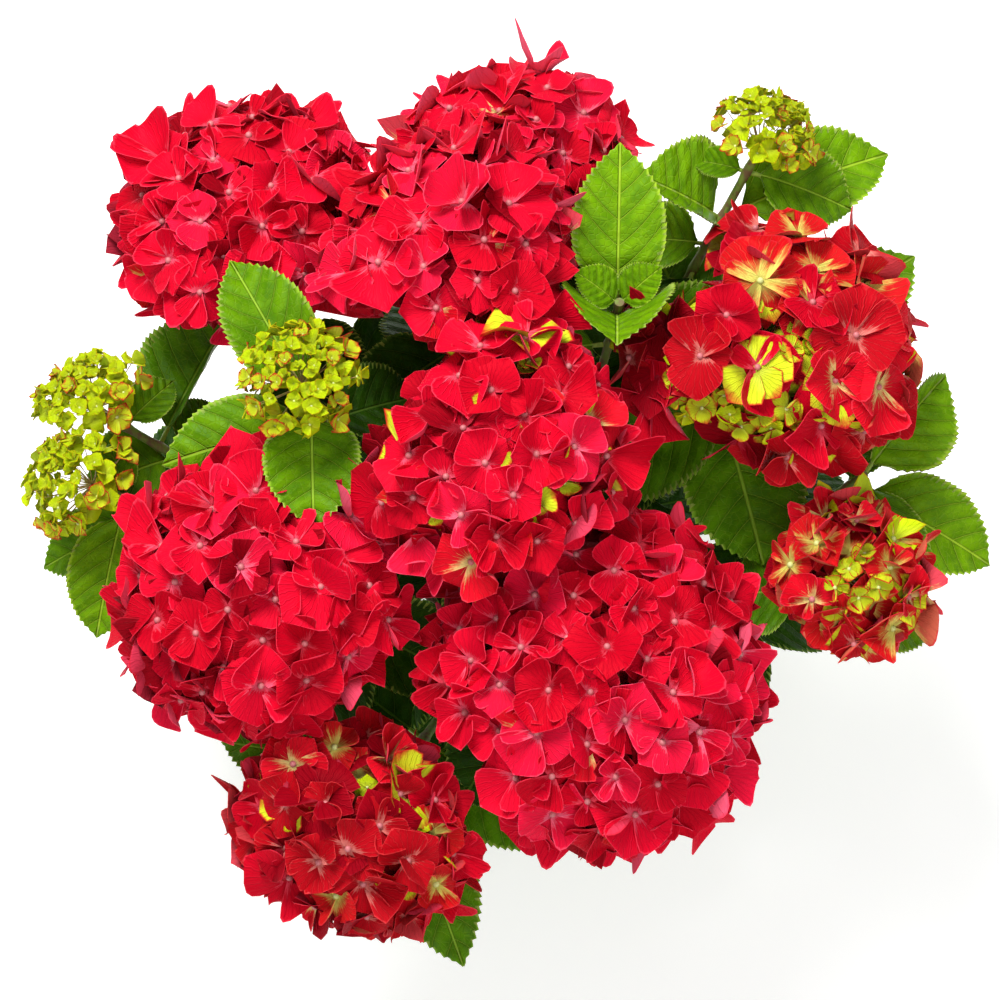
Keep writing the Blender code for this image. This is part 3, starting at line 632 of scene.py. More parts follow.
def leaf_veins_group():
    """Leaf pattern: midrib, arching side veins and a fine net, with the blade raised between them and painted
    shade on it beside each vein.
    """
    inputs = {"Blade": (0.1, 0.3, 0.01), "Blotch": (0.05, 0.2, 0.01), "Vein": (0.3, 0.5, 0.05),
              "Edge": (0.4, 0.6, 0.06), "Vein Strength": 0.6}
    tree, given, result = new_group(
        "leaf_veins", inputs, {"Colour": "NodeSocketColor", "Height": "NodeSocketFloat"})
    plan = add_node(tree, "ShaderNodeUVMap", uv_map="plan").outputs["UV"]
    x, y, _ = add_node(tree, "ShaderNodeSeparateXYZ", {"Vector": plan}).outputs
    across = maths(tree, "ABSOLUTE", maths(tree, "SUBTRACT", y, 0.5))
    bent = maths(tree, "MULTIPLY_ADD", maths(tree, "MULTIPLY", across, across), -1.4, x)
    phase = maths(tree, "MULTIPLY", maths(tree, "MULTIPLY_ADD", across, -0.8, bent), SIDE_VEINS)
    off_vein = maths(tree, "MULTIPLY", maths(tree, "PINGPONG", phase, 0.5), 2.0)
    side = faded(tree, off_vein, 0.01, 0.10, 1.0, 0.0)
    midrib = faded(tree, across, 0.004, 0.014, 1.0, 0.0)
    net_edge = add_node(tree, "ShaderNodeTexVoronoi", {"Vector": plan, "Scale": 26.0},
                        feature="DISTANCE_TO_EDGE").outputs["Distance"]
    net = faded(tree, net_edge, 0.0, 0.10, 1.0, 0.0)
    blotch = add_node(tree, "ShaderNodeTexNoise", {
        "Vector": plan, "Scale": 7.0, "Detail": 3.0}).outputs["Fac"]
    blade = mixed(tree, faded(tree, blotch, 0.35, 0.7), given["Blade"], given["Blotch"])
    # Painted shade: next to each side vein the blade darkens towards the blotch colour, as if shadowed where
    # it slopes into the sunken vein.
    painted_vein_shade = maths(tree, "MULTIPLY", faded(tree, off_vein, 0.08, 0.60, 1.0, 0.0), 0.55)
    vein_shaded_blade = mixed(tree, painted_vein_shade, blade, given["Blotch"])
    veins = maths(tree, "MAXIMUM", midrib, maths(tree, "MAXIMUM", maths(tree, "MULTIPLY", side, 0.75),
                                                 maths(tree, "MULTIPLY", net, 0.18)))
    veined = mixed(tree, maths(tree, "MULTIPLY", veins, given["Vein Strength"]), vein_shaded_blade, given["Vein"])
    square = add_node(tree, "ShaderNodeUVMap", uv_map="square").outputs["UV"]
    _, side_share, _ = add_node(tree, "ShaderNodeSeparateXYZ", {"Vector": square}).outputs
    off_middle = maths(tree, "ABSOLUTE", maths(tree, "MULTIPLY_ADD", side_share, 2.0, -1.0))
    rim = faded(tree, off_middle, 0.90, 1.0)
    tree.links.new(mixed(tree, maths(tree, "MULTIPLY", rim, 0.8), veined, given["Edge"]), result["Colour"])
    sunk = maths(tree, "MULTIPLY_ADD", veins, -0.6, maths(tree, "MULTIPLY", off_vein, 0.5))
    tree.links.new(sunk, result["Height"])
    return tree


def leaf_surface(foot, spec, ruffle):
    """The surface of one leaf's blade as a function of its two shares, on its arching midrib."""
    level = np.array(compass(spec.bearing))
    aside = np.array([-level[1], level[0], 0.0])
    roll = math.radians(spec.roll)
    fold = math.tan(math.radians(spec.fold))

    def surface(u, v):
        share = LEAF_STALK_SHARE + u * (1.0 - LEAF_STALK_SHARE)
        slope = math.radians(spec.pitch) - LEAF_ARCH * share
        middle_slope = math.radians(spec.pitch) - LEAF_ARCH * share / 2
        heading = level * np.cos(slope)[:, None] + np.array(UP) * np.sin(slope)[:, None]
        midrib = level * np.cos(middle_slope)[:, None] + np.array(UP) * np.sin(middle_slope)[:, None]
        middle = np.array(foot) + midrib * (share * spec.length)[:, None]
        over = np.cross(heading, aside[None])
        across = aside * math.cos(roll) - over * math.sin(roll)
        over = over * math.cos(roll) + aside * math.sin(roll)
        row = u * LEAF_TEETH
        tooth = (row % 1.0) * (np.abs(v) > 0.99)
        half = np.interp(u, *np.array(LEAF_OUTLINE).T) * spec.width / 2
        tooth = tooth * np.clip(half / spec.width * 5.0, 0.0, 1.0)
        out = half * v + np.sign(v) * tooth * TOOTH_DEPTH * spec.width
        ahead = tooth * TOOTH_REACH * spec.length / LEAF_TEETH
        bent = u - 0.8 * np.abs(v) * half / spec.length - 1.4 * (v * half / spec.length) ** 2
        puff = np.sin(np.pi * ((bent * SIDE_VEINS) % 1.0)) * np.sin(np.pi * np.clip(np.abs(v), 0, 1)) ** 0.5
        lift = fold * np.abs(out) * 0.75 + fold * out**2 / spec.width
        lift += PUFF_HEIGHT * puff + EDGE_RUFFLE * spec.width * np.abs(v) ** 3 * np.sin(u * 21.0 + ruffle)
        return middle + across * out[:, None] + over * lift[:, None] + heading * ahead[:, None]

    return surface


def leaf_tree(members):
    """Some of the leaves as one tree, in which near and underlying blades are found."""
    shapes = leaf_shapes[list(members)]
    starts = np.arange(len(shapes))[:, None, None] * len(leaf_sheet.u)
    faces = (leaf_sheet.faces[None] + starts).reshape(-1, 4)
    return BVHTree.FromPolygons(shapes.reshape(-1, 3).tolist(), faces.tolist())


def shaded(point):
    """Whether a point lies under a head, when it is followed up to the head against the light."""
    for shoot in SHOOTS:
        across = point.x - shoot.place[0]
        along = point.y - (shoot.place[2] - point.z) * SHADE_SLOPE - shoot.place[1]
        if math.hypot(across, along) < shoot.radius:
            return True
    return False


def lower_leaves(shoot, rng):
    """Pairs of leaves further down a cane, in the shade of the heads, in the leaf tone with the heaviest
    painted shade.
    """
    points, length = CANES[shoot.name]
    lowest_shown = max(leaf.drop for leaf in shoot.leaves)
    for pair in range(1, shoot.lower_pairs + 1):
        for side in (0, 1):
            bearing = shoot.leaves[0].bearing + 90 * (pair % 2) + 180 * side
            bearing += rng.uniform(-LOWER_LEAF_SWING, LOWER_LEAF_SWING)
            size = LOWER_LEAF_LENGTH * rng.uniform(*LOWER_LEAF_RANGE)
            drop = lowest_shown + LOWER_PAIR_STEP * pair
            foot = at_distance(points, length, length - drop)
            for turn in LOWER_LEAF_TURNS:
                spec = Leaf(drop, bearing + turn, size, LOWER_LEAF_WIDTH, LOWER_LEAF_PITCH, tone="painted_deep_shade")
                if shaded(foot + compass(spec.bearing) * size):
                    yield foot, spec
                    break


def leaf_stalk(foot, spec):
    """The stout stalk of one leaf, from the cane to a little way under the blade."""
    surface = leaf_surface(foot, spec, 0.0)
    ends = np.array([-LEAF_STALK_SHARE / (1.0 - LEAF_STALK_SHARE) * step for step in (1.0, 0.66, 0.33, 0.0)])
    line = surface(np.append(ends, 0.10), np.zeros(5))
    return line - [0.0, 0.0, 0.0012], LEAF_STALK_RADIUS * np.array([1.25, 1.0, 0.9, 0.85, 0.5])


leaf_sheet = Sheet(LEAF_TEETH * 2, LEAF_ACROSS, LEAF_OUTLINE, 0.58)
leaf_rng = np.random.default_rng(SEED)
grown = []
for shoot in SHOOTS:
    points, length = CANES[shoot.name]
    grown += [(at_distance(points, length, length - leaf.drop), leaf) for leaf in shoot.leaves]
shown_count = len(grown)
for shoot in SHOOTS:
    grown += list(lower_leaves(shoot, leaf_rng))

leaf_veins = leaf_veins_group()
tone_names = list(LEAF_TONES)[:-1]
leaf_finishes = []
for tone in tone_names:
    for label in (tone, "below"):
        blade, blotch, vein, edge = LEAF_TONES[label]
        values = {"Blade": blade, "Blotch": blotch, "Vein": vein, "Edge": edge, "Vein Strength": 0.75}
        leaf_finishes.append(patterned_finish(f"leaf_{tone}_{label}", leaf_veins, values, 0.42, 0.06, 0.0020))
leaf_shapes = np.array([
    thickened(leaf_surface(foot, spec, leaf_rng.uniform(0, 6.3)), leaf_sheet, LEAF_THICKNESS)
    for foot, spec in grown])
leaf_tones = [tone_names.index(spec.tone) for _, spec in grown]
for name, members in (("leaves", slice(shown_count)), ("lower_leaves", slice(shown_count, None))):
    piece = join_copies(
        name, leaf_sheet, leaf_shapes[members], leaf_tones[members], tone_names, leaf_finishes)
    put_on_plant(piece, "foliage", [mass_node(shoot) for shoot in SHOOTS])
leaf_stalks = tubes_mesh("leaf_stalks", [leaf_stalk(foot, spec) for foot, spec in grown], 8)
leaf_stalks.data.materials.append(patterned_finish(
    "leaf_stalk", bark, {"Ridge": (0.30, 0.42, 0.05), "Furrow": (0.18, 0.28, 0.03), "Fissures": 300.0},
    0.5, 0.3, 0.0001))
put_on_plant(leaf_stalks, "foliage", [mass_node(shoot) for shoot in SHOOTS])


# Florets
# Each head is a dome of flat florets. A floret has four broad petal-like sepals in two overlapping
# pairs, thin and satiny with fine fanning veins, round a small pale bead.
SEPAL_THICKNESS = 0.00035
SEPAL_BREADTH = 1.24
SEPAL_OUTLINE = (
    (0.0, 0.20), (0.125, 0.52), (0.25, 0.80), (0.375, 0.97), (0.50, 1.0), (0.625, 0.88), (0.75, 0.62),
    (0.875, 0.31), (1.0, 0.02))
FLORET_REACH = 0.82
LIME_FLORET_REACH = 0.60
UNRIPE_SPACING = 0.0155
FACE_UP = 0.30
FACING_SPREAD = 0.18
DEPTH_SPREAD = 0.12
CURLED_SHARE = 0.04
ROLLED_SHARE = 0.22
LEAF_CLEARANCE = 0.42
FREE_LEAF_CLEARANCE = 0.62
FREE_LEAF_DEPTH = 0.10
PATCH_MARGIN = 3
DOME_LOWEST_ANGLE = math.radians(104)
HEAD_SPACING = 0.0015
PLANE_MARGIN = 0.4
# Petal, heart, rim and vein colours, the reach of heart and rim, and the underside
PETAL_TONES = {
    "red": ((0.64, 0.0022, 0.0210), (0.90, 0.100, 0.170), (0.80, 0.035, 0.075), (0.74, 0.018, 0.055),
            0.14, 0.05, 0.02, (0.74, 0.060, 0.120)),
    "crimson": ((0.50, 0.0014, 0.0130), (0.80, 0.060, 0.100), (0.66, 0.020, 0.045), (0.60, 0.010, 0.030),
                0.14, 0.05, 0.02, (0.66, 0.040, 0.085)),
    "rose": ((0.72, 0.0060, 0.0380), (0.93, 0.150, 0.240), (0.86, 0.060, 0.120), (0.82, 0.035, 0.090),
             0.18, 0.05, 0.02, (0.80, 0.100, 0.180)),
    # Painted shade: a darkened red for florets in the layers under the outer ones
    "shade": ((0.26, 0.0010, 0.0070), (0.44, 0.020, 0.040), (0.36, 0.008, 0.018), (0.32, 0.004, 0.014),
              0.14, 0.05, 0.02, (0.34, 0.020, 0.040)),
    "cream_heart": ((0.62, 0.0035, 0.0150), (0.84, 0.660, 0.240), (0.78, 0.035, 0.060), (0.72, 0.050, 0.060),
                    0.30, 0.05, 0.02, (0.70, 0.070, 0.100)),
    "velvet": ((0.42, 0.0022, 0.0085), (0.72, 0.200, 0.170), (0.60, 0.030, 0.035), (0.60, 0.050, 0.050),
               0.18, 0.05, 0.04, (0.52, 0.045, 0.055)),
    "lime_heart": ((0.52, 0.0050, 0.0090), (0.72, 0.660, 0.140), (0.60, 0.020, 0.030), (0.64, 0.100, 0.060),
                   0.42, 0.06, 0.05, (0.60, 0.120, 0.070)),
    "lime_rimmed": ((0.58, 0.660, 0.020), (0.68, 0.780, 0.060), (0.52, 0.020, 0.015), (0.48, 0.500, 0.010),
                    0.40, 0.14, 0.34, (0.56, 0.560, 0.050)),
    "lime": ((0.50, 0.640, 0.006), (0.72, 0.860, 0.040), (0.52, 0.400, 0.006), (0.38, 0.500, 0.004),
             0.60, 0.10, 0.10, (0.44, 0.580, 0.020)),
}
# How often each tone comes up in a kind of head, and in the layers under its outer florets, where the shade
# tone and a larger share of crimson are painted shade
TONE_MIXES = {
    "red": {"red": 0.50, "crimson": 0.24, "rose": 0.26},
    "red_depth": {"shade": 0.52, "crimson": 0.38, "cream_heart": 0.07, "lime_heart": 0.03},
    "red_lime": {"red": 0.44, "crimson": 0.20, "rose": 0.22, "cream_heart": 0.09, "lime_heart": 0.05},
    "red_lime_depth": {
        "shade": 0.30, "crimson": 0.28, "cream_heart": 0.12, "lime_heart": 0.12, "lime_rimmed": 0.18},
    "velvet": {"velvet": 0.66, "crimson": 0.24, "lime_heart": 0.10},
    "velvet_depth": {"shade": 0.40, "velvet": 0.14, "lime_heart": 0.16, "lime_rimmed": 0.18, "lime": 0.12},
    "half_ripe": {"velvet": 0.46, "crimson": 0.28, "cream_heart": 0.16, "lime_heart": 0.10},
    "half_ripe_depth": {"shade": 0.45, "velvet": 0.25, "lime_heart": 0.18, "lime_rimmed": 0.12},
    "hearted": {"lime_heart": 0.50, "cream_heart": 0.26, "velvet": 0.24},
    "hearted_depth": {"shade": 0.30, "lime_heart": 0.22, "lime_rimmed": 0.26, "lime": 0.22},
    "lime": {"lime": 0.76, "lime_rimmed": 0.24},
    "lime_edge": {"lime": 0.25, "lime_rimmed": 0.75},
    "lime_depth": {"lime": 1.0},
    "unripe": {"lime": 0.40, "lime_rimmed": 0.60},
}


def petal_veins_group():
    """Petal pattern: veins that fan from the base, a heart that fades outwards, and a coloured rim."""
    inputs = {"Petal": (0.6, 0.01, 0.01), "Heart": (0.8, 0.1, 0.1), "Rim": (0.5, 0.01, 0.01),
              "Vein": (0.8, 0.1, 0.1), "Heart Reach": 0.3, "Rim Reach": 0.1, "Tip Reach": 0.1,
              "Vein Strength": 0.4}
    tree, given, result = new_group(
        "petal_veins", inputs, {"Colour": "NodeSocketColor", "Height": "NodeSocketFloat"})
    plan = add_node(tree, "ShaderNodeUVMap", uv_map="plan").outputs["UV"]
    x, y, _ = add_node(tree, "ShaderNodeSeparateXYZ", {"Vector": plan}).outputs
    drift = add_node(tree, "ShaderNodeTexNoise", {"Vector": plan, "Scale": 6.0, "Detail": 3.0}).outputs["Fac"]
    fan = maths(tree, "ARCTAN2", maths(tree, "SUBTRACT", y, 0.5), maths(tree, "ADD", x, 0.10))
    warped = maths(tree, "MULTIPLY_ADD", drift, 0.16, fan)
    coarse = maths(tree, "PINGPONG", maths(tree, "MULTIPLY", warped, 5.5), 0.5)
    vein = faded(tree, maths(tree, "MULTIPLY", coarse, 2.0), 0.0, 0.30, 1.0, 0.0)
    fine = maths(tree, "PINGPONG", maths(tree, "MULTIPLY", warped, 16.0), 0.5)
    fine_vein = faded(tree, maths(tree, "MULTIPLY", fine, 2.0), 0.0, 0.5, 1.0, 0.0)
    veins = maths(tree, "MAXIMUM", vein, maths(tree, "MULTIPLY", fine_vein, 0.45))
    shown = maths(tree, "MULTIPLY", veins, given["Vein Strength"])
    veined = mixed(tree, shown, given["Petal"], given["Vein"])
    spread = maths(tree, "MULTIPLY_ADD", drift, 0.35, maths(tree, "SUBTRACT", x, 0.175))
    streaked = maths(tree, "MULTIPLY_ADD", veins, -0.14, spread)
    heart = faded(tree, streaked, 0.0, given["Heart Reach"], 1.0, 0.0)
    hearted = mixed(tree, heart, veined, given["Heart"])
    square = add_node(tree, "ShaderNodeUVMap", uv_map="square").outputs["UV"]
    along, side_share, _ = add_node(tree, "ShaderNodeSeparateXYZ", {"Vector": square}).outputs
    off_middle = maths(tree, "ABSOLUTE", maths(tree, "MULTIPLY_ADD", side_share, 2.0, -1.0))
    edge_start = maths(tree, "SUBTRACT", 1.0, given["Rim Reach"])
    tip_start = maths(tree, "SUBTRACT", 1.0, given["Tip Reach"])
    edge = faded(tree, maths(tree, "MULTIPLY_ADD", drift, 0.10, maths(tree, "SUBTRACT", off_middle, 0.05)),
                 edge_start, 1.0)
    far = maths(tree, "MULTIPLY_ADD", drift, 0.30, maths(tree, "SUBTRACT", along, 0.12))
    tip = faded(tree, far, tip_start, 1.0)
    coloured = mixed(tree, maths(tree, "MAXIMUM", edge, tip), hearted, given["Rim"])
    tree.links.new(coloured, result["Colour"])
    tree.links.new(veins, result["Height"])
    return tree


def petal_finishes(tones, group):
    """Two materials for each tone: the petal's face, and its paler underside and edge."""
    for tone in tones:
        petal, heart, rim, vein, heart_reach, rim_reach, tip_reach, below = PETAL_TONES[tone]
        face = {"Petal": petal, "Heart": heart, "Rim": rim, "Vein": vein, "Heart Reach": heart_reach,
                "Rim Reach": rim_reach, "Tip Reach": tip_reach, "Vein Strength": 0.22}
        back = {**face, "Petal": below, "Vein Strength": 0.12}
        yield patterned_finish(f"petal_{tone}", group, face, 0.50, 0.03, 0.0004)
        yield patterned_finish(f"petal_{tone}_back", group, back, 0.55, 0.03, 0.0003)


def head_frame(shoot):
    """Axes of a head's own frame as columns, with the head's axis last."""
    axis = head_axis(shoot)
    long_way = compass(shoot.turn)
    long_way = (long_way - axis * long_way.dot(axis)).normalized()
    return np.array([long_way, axis.cross(long_way), axis]).T


def dividing_planes(shoot):
    """Planes that part a head from its neighbours, as pairs of direction and distance from its middle."""
    for other in SHOOTS:
        if other is shoot or other.radius == 0:
            continue
        way = Vector(other.place) - Vector(shoot.place)
        apart = way.length
        distance = (apart**2 + shoot.radius**2 - other.radius**2) / (2 * apart)
        if distance < shoot.radius * shoot.stretch:
            yield np.array(way / apart), distance - HEAD_SPACING


def dome_places(shoot, spacing, share):
    """Golden-angle spiral over a dome of a share of the head's size: places, facings and levels."""
    lowest = math.cos(DOME_LOWEST_ANGLE)
    area = 2 * math.pi * (shoot.radius * share) ** 2 * shoot.stretch * (1.0 - lowest)
    count = round(area / spacing**2)
    steps = np.arange(count)
    level = 1.0 - (1.0 - lowest) * (steps + 0.5) / count
    flat = np.sqrt(1.0 - level**2)
    turn = steps * math.pi * (3.0 - math.sqrt(5.0))
    way = np.stack([flat * np.cos(turn), flat * np.sin(turn), level], 1)
    height = np.where(level > 0, DOME_HEIGHT, DOME_UNDERSIDE)
    size = shoot.radius * share
    places = way * np.stack([np.full(count, size * shoot.stretch), np.full(count, size), size * height], 1)
    facing = way / np.array([shoot.stretch, 1.0, DOME_HEIGHT])
    facing /= np.linalg.norm(facing, axis=1, keepdims=True)
    turned = head_frame(shoot)
    return np.array(shoot.place) + places @ turned.T, facing @ turned.T, way @ turned.T


@dataclass
class Florets:
    """Florets of one layer: their middles, facings, sizes and tones."""

    places: np.ndarray
    facings: np.ndarray
    sizes: np.ndarray
    tones: list


def in_patches(shoot, ways, mix, margin=0):
    """Whether each floret lies in one of the head's patches of a mix, or within a margin in degrees."""
    inside = np.zeros(len(ways), bool)
    axis = head_axis(shoot)
    for bearing, tilt, reach, patch_mix in shoot.patches:
        if patch_mix != mix:
            continue
        level = compass(bearing)
        level = (level - axis * level.dot(axis)).normalized()
        middle = axis * math.cos(math.radians(tilt)) + level * math.sin(math.radians(tilt))
        inside |= ways @ np.array(middle) > math.cos(math.radians(reach + margin))
    return inside


def thinned(places, spacings, rng):
    """Which florets stay, so that each has its own spacing to every other."""
    kept = np.zeros(len(places), bool)
    for i in rng.permutation(len(places)):
        near = np.linalg.norm(places[kept] - places[i], axis=1) < (spacings[kept] + spacings[i]) / 2
        kept[i] = not near.any()
    return kept


def dealt(mixes, rng):
    """A tone for every floret, by how often each comes up in its mix."""
    for mix in mixes:
        names, weights = zip(*TONE_MIXES[mix].items())
        yield names[rng.choice(len(names), p=np.array(weights) / sum(weights))]


def clear_of_leaves(shoot, places, sizes):
    """Whether each floret touches no leaf, and lies over no free leaf of another cane."""
    shown = [spec for _, spec in grown[:shown_count]]
    free_leaves = leaf_tree([i for i, spec in enumerate(shown) if spec.free and spec not in shoot.leaves])
    for place, size in zip(places, sizes):
        clear = LEAF_TREE.find_nearest(place)[3] > size * LEAF_CLEARANCE
        for bearing in range(0, 360, 45):
            above = Vector(place) + compass(bearing) * size * FREE_LEAF_CLEARANCE
            clear &= free_leaves.ray_cast(above, -UP, FREE_LEAF_DEPTH)[0] is None
        yield clear


def head_florets(shoot, rng, share, crowding, depth):
    """The florets of one layer of a head, without those that would cross into a neighbour."""
    axis = np.array(head_axis(shoot))
    mix = shoot.mix + depth
    if shoot.kind == "lime":
        places, facings, ways = dome_places(shoot, shoot.spacing * 0.30, share)
        outwards = np.clip((1.0 - ways @ axis) / (1.0 - math.cos(DOME_LOWEST_ANGLE)), 0.0, 1.0)
        spacings = shoot.spacing * crowding * (0.72 + 0.72 * outwards) * rng.uniform(0.9, 1.1, len(places))
        kept = thinned(places, spacings, rng)
        places, facings, sizes = places[kept], facings[kept], spacings[kept] * LIME_FLORET_REACH
        mixes = [mix if far < 0.45 or depth else "lime_edge" for far in outwards[kept]]
    else:
        spacing = shoot.spacing * crowding
        places, facings, ways = dome_places(shoot, spacing, share)
        ripe = ~in_patches(shoot, ways, "unripe", PATCH_MARGIN) & ~in_patches(shoot, ways, "bare")
        hearted = in_patches(shoot, ways[ripe], "hearted") & (depth == "")
        fine_places, fine_facings, fine_ways = dome_places(shoot, UNRIPE_SPACING, share * 0.95)
        unripe = in_patches(shoot, fine_ways, "unripe") & ~in_patches(shoot, fine_ways, "bare")
        places = np.vstack([places[ripe], fine_places[unripe]])
        facings = np.vstack([facings[ripe], fine_facings[unripe]])
        sizes = np.repeat(
            [spacing * FLORET_REACH, UNRIPE_SPACING * LIME_FLORET_REACH], [ripe.sum(), unripe.sum()])
        mixes = ["hearted" if heart else mix for heart in hearted] + ["unripe"] * unripe.sum()
    sizes = sizes * rng.uniform(0.82, 1.20, len(sizes))
    facings = facings + axis * FACE_UP + rng.normal(0.0, FACING_SPREAD, facings.shape)
    facings /= np.linalg.norm(facings, axis=1, keepdims=True)
    places = places + facings * rng.normal(0.0, DEPTH_SPREAD, (len(places), 1)) * sizes[:, None]
    tones = np.array(list(dealt(mixes, rng)))
    keep = np.array(list(clear_of_leaves(shoot, places, sizes)), bool)
    for way, distance in dividing_planes(shoot):
        keep &= (places - np.array(shoot.place)) @ way < distance - sizes * PLANE_MARGIN
    return Florets(places[keep], facings[keep], sizes[keep], list(tones[keep]))


def sepal_points(sheet, florets, rng, openness):
    """Points of the four sepals of every floret, and the floret that each belongs to."""
    count = len(florets.places)
    every = 4 * count
    owner = np.repeat(np.arange(count), 4)
    pair = np.tile([0, 1, 0, 1], count)
    spin = np.repeat(rng.uniform(0, 2 * math.pi, count), 4)
    angle = spin + np.tile(np.arange(4) * math.pi / 2, count) + rng.normal(0, 0.12, every)
    reach = florets.sizes[owner] * np.where(pair == 0, 1.06, 0.94) * rng.uniform(0.86, 1.12, every)
    breadth = reach * SEPAL_BREADTH * rng.uniform(0.90, 1.16, every)
    fullness = rng.uniform(0.80, 1.15, every)
    cupping = np.repeat(rng.normal(openness, 0.22, count), 4)
    rise = cupping + rng.normal(0.0, 0.15, every) + pair * 0.05
    arch = -0.9 * cupping + rng.normal(-0.30, 0.38, every)
    rise = np.where(rng.random(every) < CURLED_SHARE, rise + 0.85, rise)
    cup = rng.normal(0.08, 0.30, every)
    fold = rng.normal(0.10, 0.16, every)
    twist = rng.normal(0.0, 0.28, every)
    rolled = np.where(rng.random(every) < ROLLED_SHARE, rng.uniform(0.7, 1.5, every), 0.0)
    rolled_side = rng.choice([-1.0, 1.0], every)
    wave = rng.uniform(0.02, 0.09, every)
    phase = rng.uniform(0, 2 * math.pi, every)
    facing = florets.facings[owner]
    helper = np.where(np.abs(facing[:, 2:]) < 0.9, [[0.0, 0.0, 1.0]], [[1.0, 0.0, 0.0]])
    first = np.cross(helper, facing)
    first /= np.linalg.norm(first, axis=1, keepdims=True)
    second = np.cross(facing, first)
    out = first * np.cos(angle)[:, None] + second * np.sin(angle)[:, None]
    aside = np.cross(facing, out)
    base = florets.places[owner] + facing * (pair * 0.0006)[:, None]

    def surface(u, v):
        outline = np.interp(u, *np.array(SEPAL_OUTLINE).T)[None] ** fullness[:, None]
        half = outline * breadth[:, None] / 2
        slope = rise[:, None] + arch[:, None] * u[None] / 2
        far = reach[:, None] * u[None]
        up = far * np.sin(slope)
        up = up + half * (cup[:, None] * v[None] ** 2 + fold[:, None] * np.abs(v)[None])
        up = up + half * twist[:, None] * v[None] * u[None]
        edge = np.clip(rolled_side[:, None] * v[None] - 0.3, 0.0, 1.0)
        up = up + half * rolled[:, None] * edge**2 * 1.4
        ripple = np.sin(8.0 * u[None] + 1.8 * v[None] + phase[:, None])
        up = up + reach[:, None] * wave[:, None] * np.abs(v)[None] ** 1.5 * ripple
        return (base[:, None] + out[:, None] * (far * np.cos(slope))[..., None]
                + aside[:, None] * (half * v[None])[..., None] + facing[:, None] * up[..., None])

    return thickened(surface, sheet, SEPAL_THICKNESS), owner


def flower_stalks(shoot, florets):
    """The thin stalk of every floret, from the top of the cane out to its base."""
    axis = np.array(head_axis(shoot))
    hub = np.array(shoot.place) - axis * shoot.radius * DOME_UNDERSIDE / 2
    for place, facing, size in zip(florets.places, florets.facings, florets.sizes):
        end = place - facing * 0.0006
        bend = hub * 0.45 + end * 0.55 - facing * size * 0.2 - axis * 0.1 * np.linalg.norm(end - hub)
        steps = np.linspace(0.0, 1.0, 6)[:, None]
        line = hub * (1 - steps) ** 2 + bend * 2 * steps * (1 - steps) + end * steps**2
        yield line, size * np.linspace(0.062, 0.034, 6)


def beads_mesh(name, places, radii):
    """One mesh of small round beads."""
    bpy.ops.object.select_all(action="DESELECT")
    bpy.ops.mesh.primitive_ico_sphere_add(subdivisions=2, radius=1.0)
    ball = bpy.context.object
    shape = np.array([vertex.co for vertex in ball.data.vertices])
    faces = np.array([face.vertices for face in ball.data.polygons])
    bpy.data.objects.remove(ball)
    points = np.array(places)[:, None] + shape[None] * np.array(radii)[:, None, None]
    every = (faces[None] + (np.arange(len(places)) * len(shape))[:, None, None]).reshape(-1, 3)
    mesh = bpy.data.meshes.new(name)
    mesh.from_pydata(points.reshape(-1, 3).tolist(), [], every.tolist())
    mesh.shade_smooth()
    made = bpy.data.objects.new(name, mesh)
    bpy.context.scene.collection.objects.link(made)
    return made


sepal_sheet = Sheet(8, 6, SEPAL_OUTLINE, SEPAL_BREADTH)
inner_sheet = Sheet(4, 2, SEPAL_OUTLINE, SEPAL_BREADTH)
lime_sheet = Sheet(5, 4, SEPAL_OUTLINE, SEPAL_BREADTH)
petal_veins = petal_veins_group()
LIME_OPENNESS = 0.80
RED_OPENNESS = 0.10
RIPE_TONES = ("red", "crimson", "rose", "shade", "cream_heart", "lime_heart", "lime_rimmed", "lime")
HALF_RIPE_TONES = ("velvet", "crimson", "shade", "cream_heart", "lime_heart", "lime_rimmed", "lime")
LIME_TONES = ("lime", "lime_rimmed")
ripe_finishes = list(petal_finishes(RIPE_TONES, petal_veins))
half_ripe_finishes = list(petal_finishes(HALF_RIPE_TONES, petal_veins))
lime_finishes = list(petal_finishes(LIME_TONES, petal_veins))
FLOWER_PIECES = (
    ("petals_back", ("back_left", "back", "centre_back"), RIPE_TONES, ripe_finishes, "red_bloom"),
    ("petals_middle", ("centre", "left"), RIPE_TONES, ripe_finishes, "red_bloom"),
    ("petals_front", ("front",), RIPE_TONES, ripe_finishes, "red_bloom"),
    ("petals_half_ripe", ("front_left", "back_right", "right"), HALF_RIPE_TONES, half_ripe_finishes,
     "half_ripe_bloom"),
    ("petals_lime", ("lime_inner", "lime_left_back", "lime_left", "lime_back_right"), LIME_TONES,
     lime_finishes, "lime_bloom"),
)
LAYERS = (("", 0.90, 1.0), ("_depth", 0.79, 1.0), ("_depth", 0.62, 1.0))
LEAF_TREE = leaf_tree(range(shown_count))
stalk_lines = []
bead_places = {"rosy": [], "green": []}
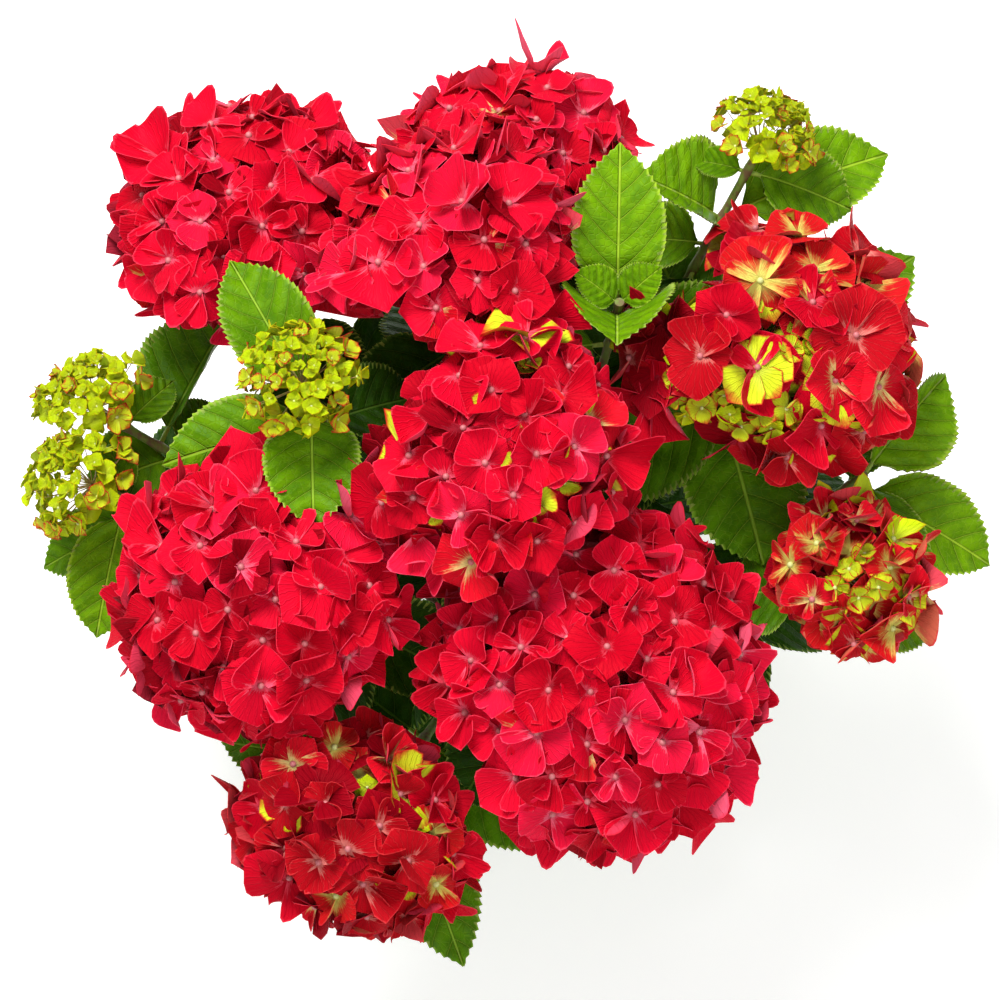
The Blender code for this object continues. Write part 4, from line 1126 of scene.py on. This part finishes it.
for piece_name, shoot_names, tone_set, finishes, slot in FLOWER_PIECES:
    outer_sheet = lime_sheet if piece_name == "petals_lime" else sepal_sheet
    grown_sepals = {outer_sheet: ([], []), inner_sheet: ([], [])}
    for shoot in SHOOTS:
        if shoot.name not in shoot_names:
            continue
        rng = np.random.default_rng(SEED + SHOOTS.index(shoot))
        for depth, share, crowding in LAYERS:
            florets = head_florets(shoot, rng, share, crowding, depth)
            sheet = inner_sheet if depth else outer_sheet
            openness = LIME_OPENNESS if shoot.kind == "lime" else RED_OPENNESS
            shapes, owner = sepal_points(sheet, florets, rng, openness)
            grown_sepals[sheet][0].append(shapes)
            grown_sepals[sheet][1].extend(tone_set.index(florets.tones[i]) for i in owner)
            if depth:
                continue
            stalk_lines += list(flower_stalks(shoot, florets))
            rows = zip(florets.places, florets.facings, florets.sizes, florets.tones)
            for place, facing, size, tone in rows:
                kind = "green" if tone.startswith("lime") else "rosy"
                bead_places[kind].append((place + facing * size * 0.06, min(0.0021, size * 0.13)))
    for sheet, label in ((outer_sheet, piece_name), (inner_sheet, f"{piece_name}_inner")):
        shapes, tones = grown_sepals[sheet]
        petals = join_copies(label, sheet, np.vstack(shapes), tones, tone_set, finishes)
        put_on_plant(petals, slot, [f"flowers_{name}" for name in shoot_names])

flower_nodes = [mass_node(shoot) for shoot in SHOOTS if shoot.kind != "leafy"]
stalks = tubes_mesh("flower_stalks", stalk_lines, 6)
stalks.data.materials.append(patterned_finish(
    "flower_stalk", bark, {"Ridge": (0.42, 0.40, 0.10), "Furrow": (0.36, 0.16, 0.08), "Fissures": 500.0},
    0.5, 0.3, 0.0001))
put_on_plant(stalks, "foliage", flower_nodes)
BEAD_COLOURS = {"rosy": (0.50, 0.15, 0.16), "green": (0.56, 0.60, 0.22)}
for kind, members in bead_places.items():
    beads = beads_mesh(f"beads_{kind}", [place for place, _ in members], [radius for _, radius in members])
    bead_finish, _ = plain_finish(f"bead_{kind}", BEAD_COLOURS[kind], 0.45, 0.4)
    beads.data.materials.append(bead_finish)
    put_on_plant(beads, "red_bloom" if kind == "rosy" else "lime_bloom", flower_nodes)
